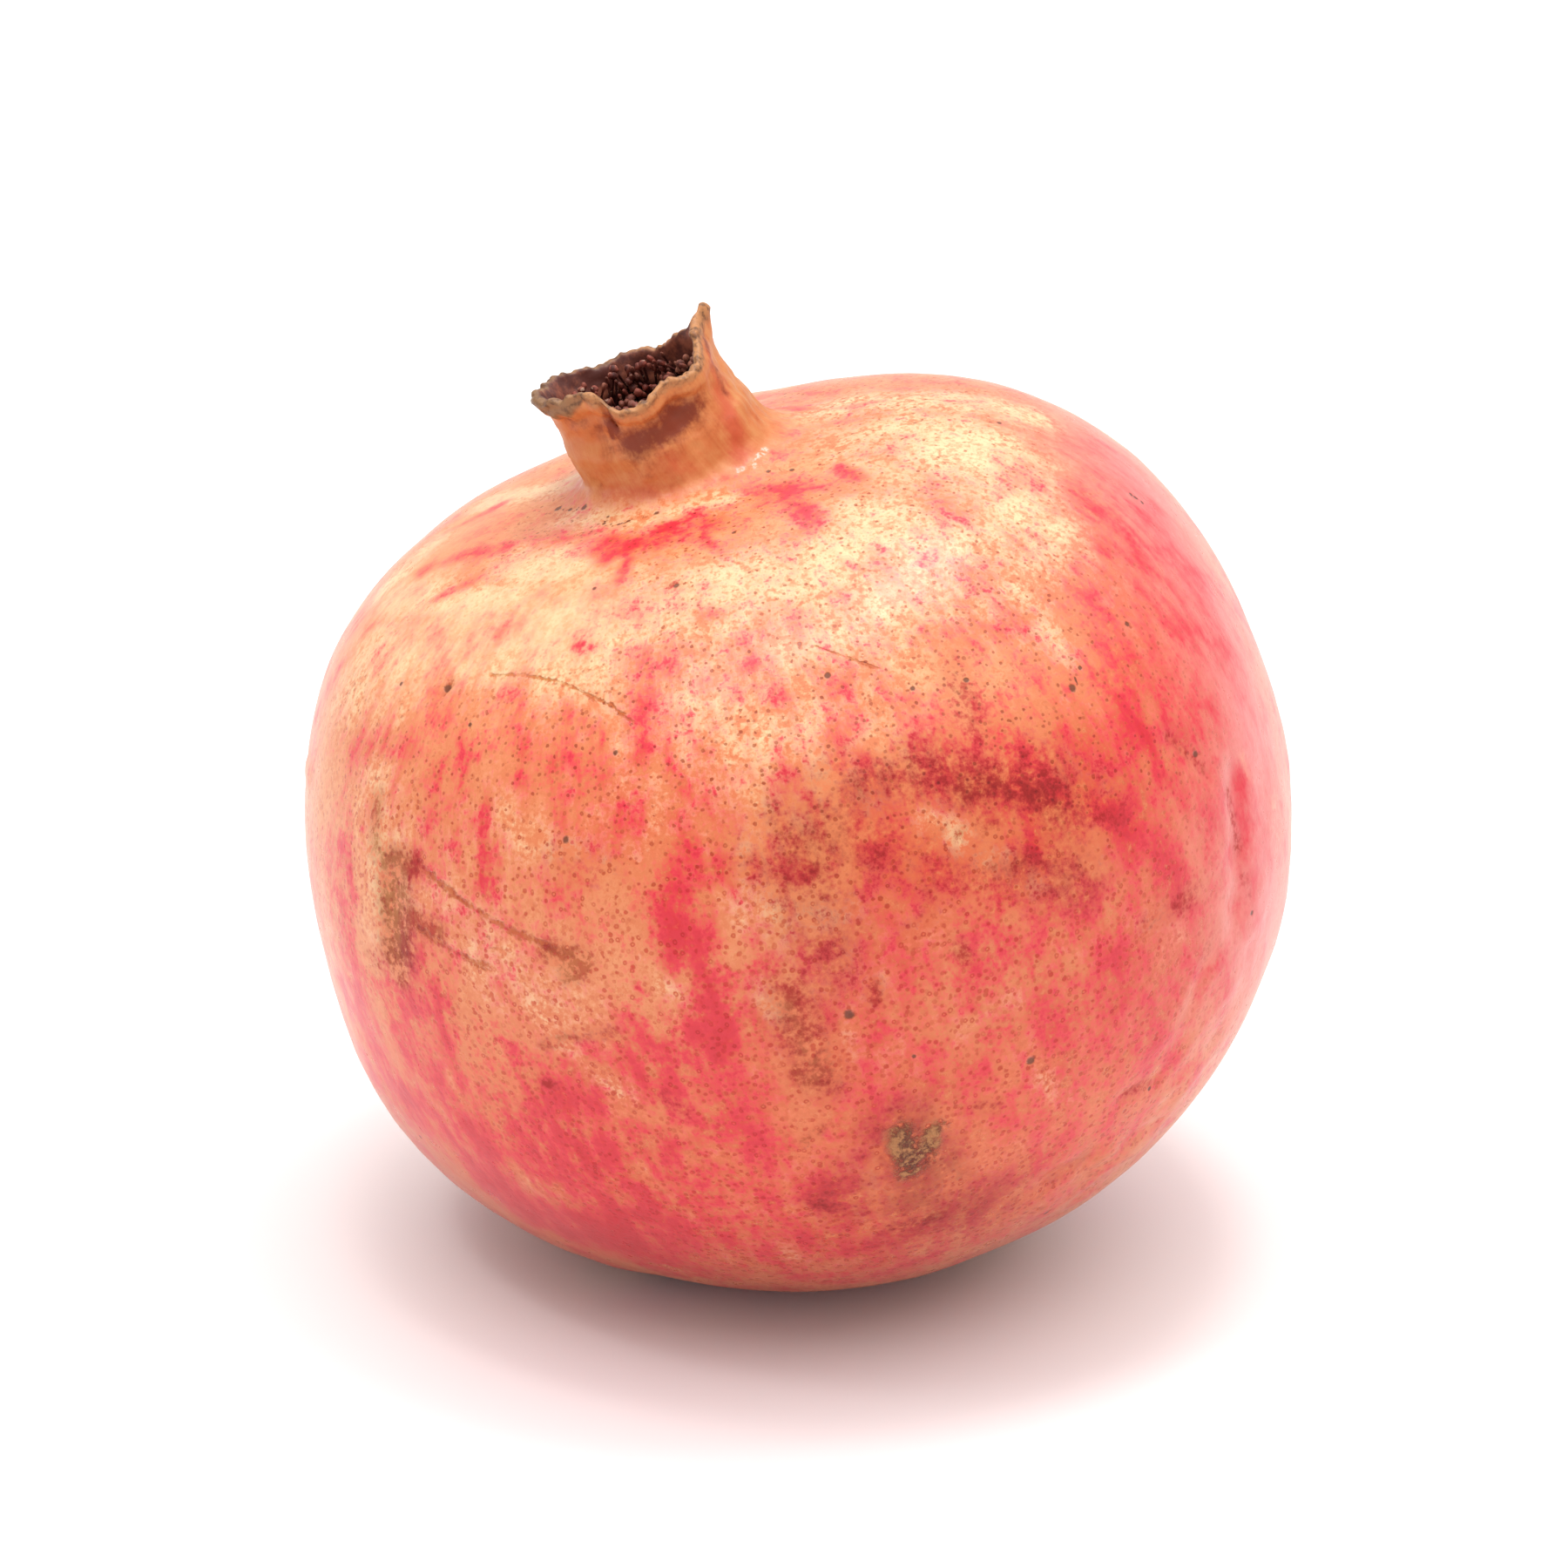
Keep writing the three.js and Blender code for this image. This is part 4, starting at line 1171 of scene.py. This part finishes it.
# %% Strokes of the crown
EMBER = [
    (16, 0.9, (826, 440), (840, 480), (850, 520)), (12, 0.6, (812, 400), (822, 430)),
    (20, 0.95, (700, 572), (760, 578), (810, 570)), (14, 0.7, (652, 560), (662, 590)),
    (16, 0.6, (760, 520), (790, 545)),
]
SCUFF = [(5, 1.1, (866, 533), (872, 524), (879, 515)), (6, 0.8, (848, 541), (866, 536))]
BRUISES = [
    (10, 0.9, (806, 372), (812, 400)), (5, 1.4, (699, 470), (703, 502)), (8, 0.5, (640, 455), (644, 470)),
    (22, 1.35, (728, 512), (760, 495), (788, 470)), (14, 0.9, (700, 478), (712, 505)),
    (9, 0.6, (650, 480), (668, 484)), (12, 0.7, (800, 480), (806, 460)), (7, 0.8, (820, 420), (832, 450)),
    (8, 0.5, (668, 540), (690, 560)), (9, 0.6, (690, 492), (702, 520)),
]
# How grey the torn edge has dried, by turn round the tube
DRYNESS = np.array([(0, 0.15), (60, 0.3), (120, 0.7), (170, 0.9), (205, 1.0), (235, 0.8), (255, 0.25),
                    (300, 0.15), (340, 0.2)])

for name, values in {
    "bruise": strokes(BRUISES) * smoothstep(0.2, 0.9, wall_of_point), "ember": strokes(EMBER),
    "scuff": strokes(SCUFF), "dry": around(DRYNESS, turn_of_point),
}.items():
    store(rind, name, values)
print("strokes of the crown:", len(EMBER) + len(SCUFF) + len(BRUISES))

# %% [markdown]
# ## Colours of the crown
# The neck and tube are tan to orange and lose the red; the lip has dried, and inside the cup all is dark maroon.
# How high a point stands on the tube, and whether it lies inside, is kept on the mesh.

# %% The crown's flesh, bruise, lip and cup
TAN = (0.60, 0.25, 0.082)
CROWN_ORANGE = (0.54, 0.14, 0.036)
CROWN_RED = (0.52, 0.085, 0.028)
CROWN_BROWN = (0.32, 0.075, 0.022)
DRY_LIP = (0.23, 0.12, 0.055)
TAN_LIP = (0.52, 0.22, 0.08)
LIP_DARK = (0.12, 0.048, 0.020)
BRUISE = (0.18, 0.020, 0.004)
SCUFF_PALE = (0.80, 0.56, 0.46)
CUP_DARK = (0.10, 0.024, 0.017)
CUP_BROWN = (0.30, 0.085, 0.045)

orange = soft_edge(uneven(tube_streaks=0.4, cloud=1.2, fine=0.8), -0.3, 0.35)
flesh = mixed(orange, TAN, CROWN_ORANGE)
flesh = mixed(frayed_share("ember", 0.05, 1.1, fine=1.0, tube_streaks=0.4), flesh, CROWN_RED)
bruised = frayed_share("bruise", 0.10, 1.2, fine=1.8, grain=1.0, tube_streaks=0.4)
flesh = mixed(times(bruised, 0.92), flesh, mixed(bruised, CROWN_BROWN, BRUISE))

dry = kept("dry")
lip_share = soft_edge(plus(kept("rise"), uneven(fine=0.4), times(dry, 0.22)), 0.90, 1.02)
lip_light = soft_edge(plus(fine, uneven(grain=0.8)), 0.30, 0.62)
flesh = mixed(lip_share, flesh, mixed(lip_light, LIP_DARK, mixed(dry, TAN_LIP, DRY_LIP)))
cup_colour = mixed(soft_edge(fine, 0.42, 0.68), CUP_DARK, CUP_BROWN)
flesh = mixed(soft_edge(kept("inside"), 0.55, 0.95), flesh, cup_colour)

crown_share = frayed_share("crown", 0.30, 0.85, fine=0.5, cloud=0.3)
colour = mixed(crown_share, colour, flesh)
scuff_share = local_share("scuff", 0.2, 0.9, 0.55, grain=4.0, fine=3.0)
colour = mixed(times(scuff_share, 0.8), colour, SCUFF_PALE)
print("crown painted,", len(skin_net.nodes), "nodes in all")

# %% [markdown]
# ## Gloss and touch of the rind
# Fresh rind is waxy: a soft, broad highlight broken up by its grain, and a pale gleam at the outline. Cork,
# scab and the dried lip are dull. Grain, pores, scratches and scab also tilt the surface by a height of a few
# hundredths of a millimetre or less, which is too fine for the mesh.

# %% Roughness and bump of the rind
RIND_BUMP = 0.00018

dull = math_step("MAXIMUM", math_step("MAXIMUM", russet_share, scab_share), times(crown_share, 0.75))
touch = plus(times(grain, 0.12), times(fine, 0.30), times(pores, -0.12), times(line, -0.5), times(speck, -0.3),
             times(times(scab_share, grain), 2.0))
feed_shader(skin_shader, {
    "Base Color": colour, "Roughness": plus(scaled(fine, 0.18, 0.21), times(dull, 0.28)),
    "Normal": bumped(touch, RIND_BUMP), "IOR": 1.45, "Specular IOR Level": 0.38,
    "Coat Weight": 0.08, "Coat Roughness": 0.22,
})
rind.data.materials.append(rind_finish)
print("the rind's finish has", len(skin_net.nodes), "nodes")

# %% [markdown]
# ## The dried stamens
# Inside the cup stand the remains of the flower: threads with a knob at the end, withered and matted. Hundreds of
# copies of one modelled thread would all be alike. Here each is a small circle carried along its own bent path,
# thin at the root and swollen into the knob, and all of them together are one array. They grow from a bed that
# lines the cup.

# %% Sizes of the stamens
THREADS = 520
THREAD_SIDES = 7
THREAD_STEPS = 11
THREAD_RADIUS = 0.12
KNOB_RADIUS = 0.34
THREAD_LENGTH = {"least": 1.5, "towards_wall": 2.7, "chance": 1.1}
KNOB = {"middle": 0.92, "half_length": 0.08, "lumps": 0.15}
GOLDEN_TURN = 137.508
# Degrees by which roots leave the golden angle, millimetres of nod to one side, degrees of twist on the way up
SCATTER, NOD, TWIST = (0, 14), (0.1, 1.5), (-22, 22)
KNOB_SIZES = (0.5, 1.5)
BED = {"thickness": 0.55, "depth": 0.25, "lumps": 0.22, "rows": 14, "columns": 96}
ROOT_REACH = 0.97
# Rings stand closer together towards the knob
THREAD_SHARES = 1 - (1 - np.linspace(0, 1, THREAD_STEPS)) ** 2
print("threads:", THREADS, "rings on each:", THREAD_STEPS)

# %% Paths of the threads


def thread_paths(random):
    """Roots spread over floor and wall by the golden angle; each path rises, leans in and nods to one side."""
    share = np.sqrt((np.arange(THREADS) + 0.5) / THREADS)
    outline = evenly(np.concatenate([[(0.0, CUP_FLOOR_HEIGHT)], cup_outline(0.0, np.linspace(1, 0, 40))]), 200)
    root = outline[(share * (len(outline) - 1) * ROOT_REACH).astype(int)]
    turn = np.arange(THREADS) * GOLDEN_TURN + random.uniform(*SCATTER, THREADS)
    length = THREAD_LENGTH["least"] + share * THREAD_LENGTH["towards_wall"]
    length = length + random.uniform(0, THREAD_LENGTH["chance"], THREADS)
    nod = random.uniform(*NOD, THREADS)
    twist = random.uniform(*TWIST, THREADS)
    s = THREAD_SHARES[None, :]
    radius = np.maximum(0.3, root[:, :1] * (1 - 0.18 * s) - nod[:, None] * s**1.5)
    radius = np.minimum(radius, WAIST_RADIUS - TUBE_WALL - THROAT_NARROWING - 0.75 * s)
    height = root[:, 1:] - BED["depth"] + (length[:, None] + BED["depth"]) * s
    return crown_point(radius, height, turn[:, None] + twist[:, None] * s)


print("roots reach", round(100 * ROOT_REACH), "% of the way from the floor's middle to the waist")

# %% Threads with knobs, as one array


def thread_grid(random):
    """Rings round each path: the ring lies across the path, and its radius swells into a lumpy knob."""
    path = thread_paths(random)
    heading = np.gradient(path, axis=1)
    heading /= np.linalg.norm(heading, axis=-1, keepdims=True)
    side = np.cross(heading, random.normal(size=(THREADS, 1, 3)))
    side /= np.linalg.norm(side, axis=-1, keepdims=True)
    other = np.cross(heading, side)
    s = THREAD_SHARES[None, :, None]
    knob = KNOB_RADIUS * random.uniform(*KNOB_SIZES, (THREADS, 1, 1))
    swell = np.sqrt(np.clip(1 - ((s - KNOB["middle"]) / KNOB["half_length"]) ** 2, 0, 1)) * knob
    radius = np.maximum(THREAD_RADIUS * (1 - smoothstep(0.93, 1.0, s) * 0.8), swell)
    radius = radius * (1 + KNOB["lumps"] * random.normal(size=(THREADS, THREAD_STEPS, THREAD_SIDES)) * (s > 0.6))
    angle = 2 * math.pi * np.arange(THREAD_SIDES) / THREAD_SIDES
    rings = path[:, :, None] + radius[..., None] * (
        np.cos(angle)[:, None] * side[:, :, None] + np.sin(angle)[:, None] * other[:, :, None])
    return path, rings


def threads_mesh():
    """Points and faces of all threads, one after the other, and how many points each has."""
    random = np.random.default_rng(7)
    path, rings = thread_grid(random)
    quads, fans = closed_grid_faces(THREAD_STEPS, THREAD_SIDES)
    each = np.concatenate([path[:, :1], rings.reshape(THREADS, -1, 3), path[:, -1:]], axis=1)
    start = (np.arange(THREADS) * each.shape[1])[:, None, None]
    return each.reshape(-1, 3), (quads + start).reshape(-1, 4), (fans + start).reshape(-1, 3), each.shape[1]


thread_points, thread_quads, thread_fans, points_each = threads_mesh()
print("each thread has", points_each, "points")

# %% The bed


def bed_mesh():
    """The bed: the cup's outline drawn in for its top and pushed out for its underside, turned as one closed
    lens with its edge sunk in the wall, and its top raised by waves."""
    under = cup_outline(-BED["depth"], np.linspace(1, 0, BED["rows"]))
    over = cup_outline(BED["thickness"], np.linspace(0, 1, BED["rows"]))
    over[0] = under[-1]
    outline = np.concatenate([[(0, under[0, 1])], under, over[1:], [(0, over[-1, 1])]])
    turn = np.arange(BED["columns"]) * 360.0 / BED["columns"]
    grid = crown_point(outline[:, :1], outline[:, 1:], turn[None, :])
    top = (np.arange(len(outline)) > len(under))[:, None]
    grid = grid + np.array([0, 0, 1.0]) * (BED["lumps"] * waves(grid, 2.4, 61) * top)[..., None]
    quads, fans = closed_grid_faces(len(outline) - 2, BED["columns"])
    return closed_grid_points(grid), quads, fans


bed_points, bed_quads, bed_fans = bed_mesh()
print("the bed has", len(bed_points), "points")

# %% Bed and threads as one piece
offset = len(bed_points)
stamens = make_piece("stamens", stand(np.concatenate([bed_points, thread_points])),
                     bed_quads, bed_fans, thread_quads + offset, thread_fans + offset)
shade_of_thread = np.random.default_rng(9).uniform(0, 1, THREADS)
tip = np.zeros((THREADS, points_each))
tip[:, 1:-1] = np.repeat(THREAD_SHARES, THREAD_SIDES)
tip[:, -1] = 1
store(stamens, "shade", np.concatenate([np.full(offset, 0.2), np.repeat(shade_of_thread, points_each)]))
store(stamens, "tip", np.concatenate([np.zeros(offset), tip.ravel()]))
print("points with a shade of their own:", THREADS * points_each)

# %% [markdown]
# ## Finish of the stamens
# They have dried to dark maroon. Each knob is a little browner or redder than the next, whole tufts have withered
# paler, and flecks of old pollen cling to them.

# %% Dark threads with lighter knobs
THREAD_DARK = (0.07, 0.014, 0.011)
KNOB_BROWN = (0.20, 0.062, 0.038)
KNOB_RED = (0.34, 0.070, 0.046)
WITHERED = (0.36, 0.14, 0.085)
POLLEN = (0.55, 0.36, 0.26)

stamen_finish, stamen_net, stamen_shader = new_finish("stamens")
stamen_place = object_space(stamen_net)
lumps = noise(stamen_place, 900, 3)
knob_colour = mixed(stored(stamen_net, "shade"), KNOB_BROWN, KNOB_RED)
tufts = soft_edge(noise(stamen_place, 240, 2), 0.48, 0.62)
knob_colour = mixed(times(tufts, 0.8), knob_colour, WITHERED)
knob_share = times(soft_edge(stored(stamen_net, "tip"), 0.75, 0.95), soft_edge(lumps, 0.3, 0.6))
stamen_colour = mixed(knob_share, THREAD_DARK, knob_colour)
flecks = soft_edge(noise(stamen_place, 1900, 2), 0.62, 0.69)
feed_shader(stamen_shader, {
    "Base Color": mixed(times(flecks, 0.7), stamen_colour, POLLEN), "Roughness": scaled(lumps, 0.3, 0.42),
    "Specular IOR Level": 0.3, "Normal": bumped(lumps, 0.0002),
})
stamens.data.materials.append(stamen_finish)
print("stamen finish has", len(stamen_net.nodes), "nodes")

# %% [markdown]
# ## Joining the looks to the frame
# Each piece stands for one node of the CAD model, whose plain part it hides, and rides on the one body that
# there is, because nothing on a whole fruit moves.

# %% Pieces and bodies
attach(rind, "root")
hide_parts("fruit")
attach(stamens, "root")
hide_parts("dried_stamens")
print("pieces:", rind.name, "for fruit,", stamens.name, "for dried_stamens")

# %% [markdown]
# ## Floor and light
# The fruit stands on a plain white surface in a bright white room, a little brighter above and to the left. A very
# wide light from above and slightly from the right leaves a soft shadow underneath, and three small, weak lamps
# give the shine on the shoulder. One strong lamp would be simpler, but its shadow would have a hard edge.

# %% Floor
FLOOR_HALF = 8.0
FLOOR_COLOUR = (0.93, 0.90, 0.895)

floor_mesh = bpy.data.meshes.new("floor")
floor_corners = [(x * FLOOR_HALF, y * FLOOR_HALF, 0) for x, y in ((-1, -1), (1, -1), (1, 1), (-1, 1))]
floor_mesh.from_pydata(floor_corners, [], [(0, 1, 2, 3)])
floor = bpy.data.objects.new("floor", floor_mesh)
bpy.context.scene.collection.objects.link(floor)
floor_finish, floor_net, floor_shader = new_finish("floor")
mottle = noise(object_space(floor_net), 60, 4)
feed_shader(floor_shader, {
    "Base Color": FLOOR_COLOUR, "Roughness": scaled(mottle, 0.04, 0.5), "Specular IOR Level": 0.2,
})
floor_mesh.materials.append(floor_finish)
print("floor", 2 * FLOOR_HALF, "m wide")

# %% Room
ROOM_HORIZON = 0.63
ROOM_ZENITH = 0.80
ROOM_LEFT = 0.08

world = bpy.data.worlds.new("room")
world.use_nodes = True
room = world.node_tree.nodes["Background"]
sky_right, _, sky_height = parts_of(world.node_tree.nodes.new("ShaderNodeTexCoord").outputs["Generated"])
brightness = scaled(sky_height, ROOM_ZENITH - ROOM_HORIZON, ROOM_HORIZON)
feed_shader(room, {"Color": (1.0, 1.0, 1.0), "Strength": scaled(sky_right, -ROOM_LEFT, brightness)})
bpy.context.scene.world = world
print("the room's brightness goes from", ROOM_HORIZON, "to", ROOM_ZENITH)

# %% Lamps
SKYLIGHT = {"strength": 2.0, "angle": 90, "from": (0.16, 0.02, 1.0)}
# Name, place and target in metres, width and depth, watts
LAMPS = [
    ("overhead", (0.10, 0.02, 0.62), (0, 0, 0.045), (0.15, 0.10), 0.8),
    ("left_near", (-0.08, -0.08, 0.62), (0, 0, 0.05), (0.15, 0.05), 0.4),
    ("left_far", (-0.26, -0.18, 0.56), (0, 0, 0.05), (0.15, 0.05), 0.3),
]


def add_light(name, kind, energy, facing):
    """A light of a kind and energy, turned to face a way; lights shine down their own axis."""
    data = bpy.data.lights.new(name, kind)
    data.energy = energy
    light = bpy.data.objects.new(name, data)
    light.rotation_euler = facing.to_euler()
    bpy.context.scene.collection.objects.link(light)
    return light


skylight = add_light("skylight", "SUN", SKYLIGHT["strength"], Vector(SKYLIGHT["from"]).to_track_quat("Z", "Y"))
skylight.data.angle = math.radians(SKYLIGHT["angle"])
for name, lamp_place, target, size, watts in LAMPS:
    lamp = add_light(name, "AREA", watts, (Vector(target) - Vector(lamp_place)).to_track_quat("-Z", "Y"))
    lamp.location = lamp_place
    lamp.data.shape = "RECTANGLE"
    lamp.data.size, lamp.data.size_y = size
bpy.context.scene.view_settings.view_transform = "Standard"
print("lights:", 1 + len(LAMPS))

# %% [markdown]
# ## The end
# Nothing more is built.

# %% Finish
print("the scene is built")
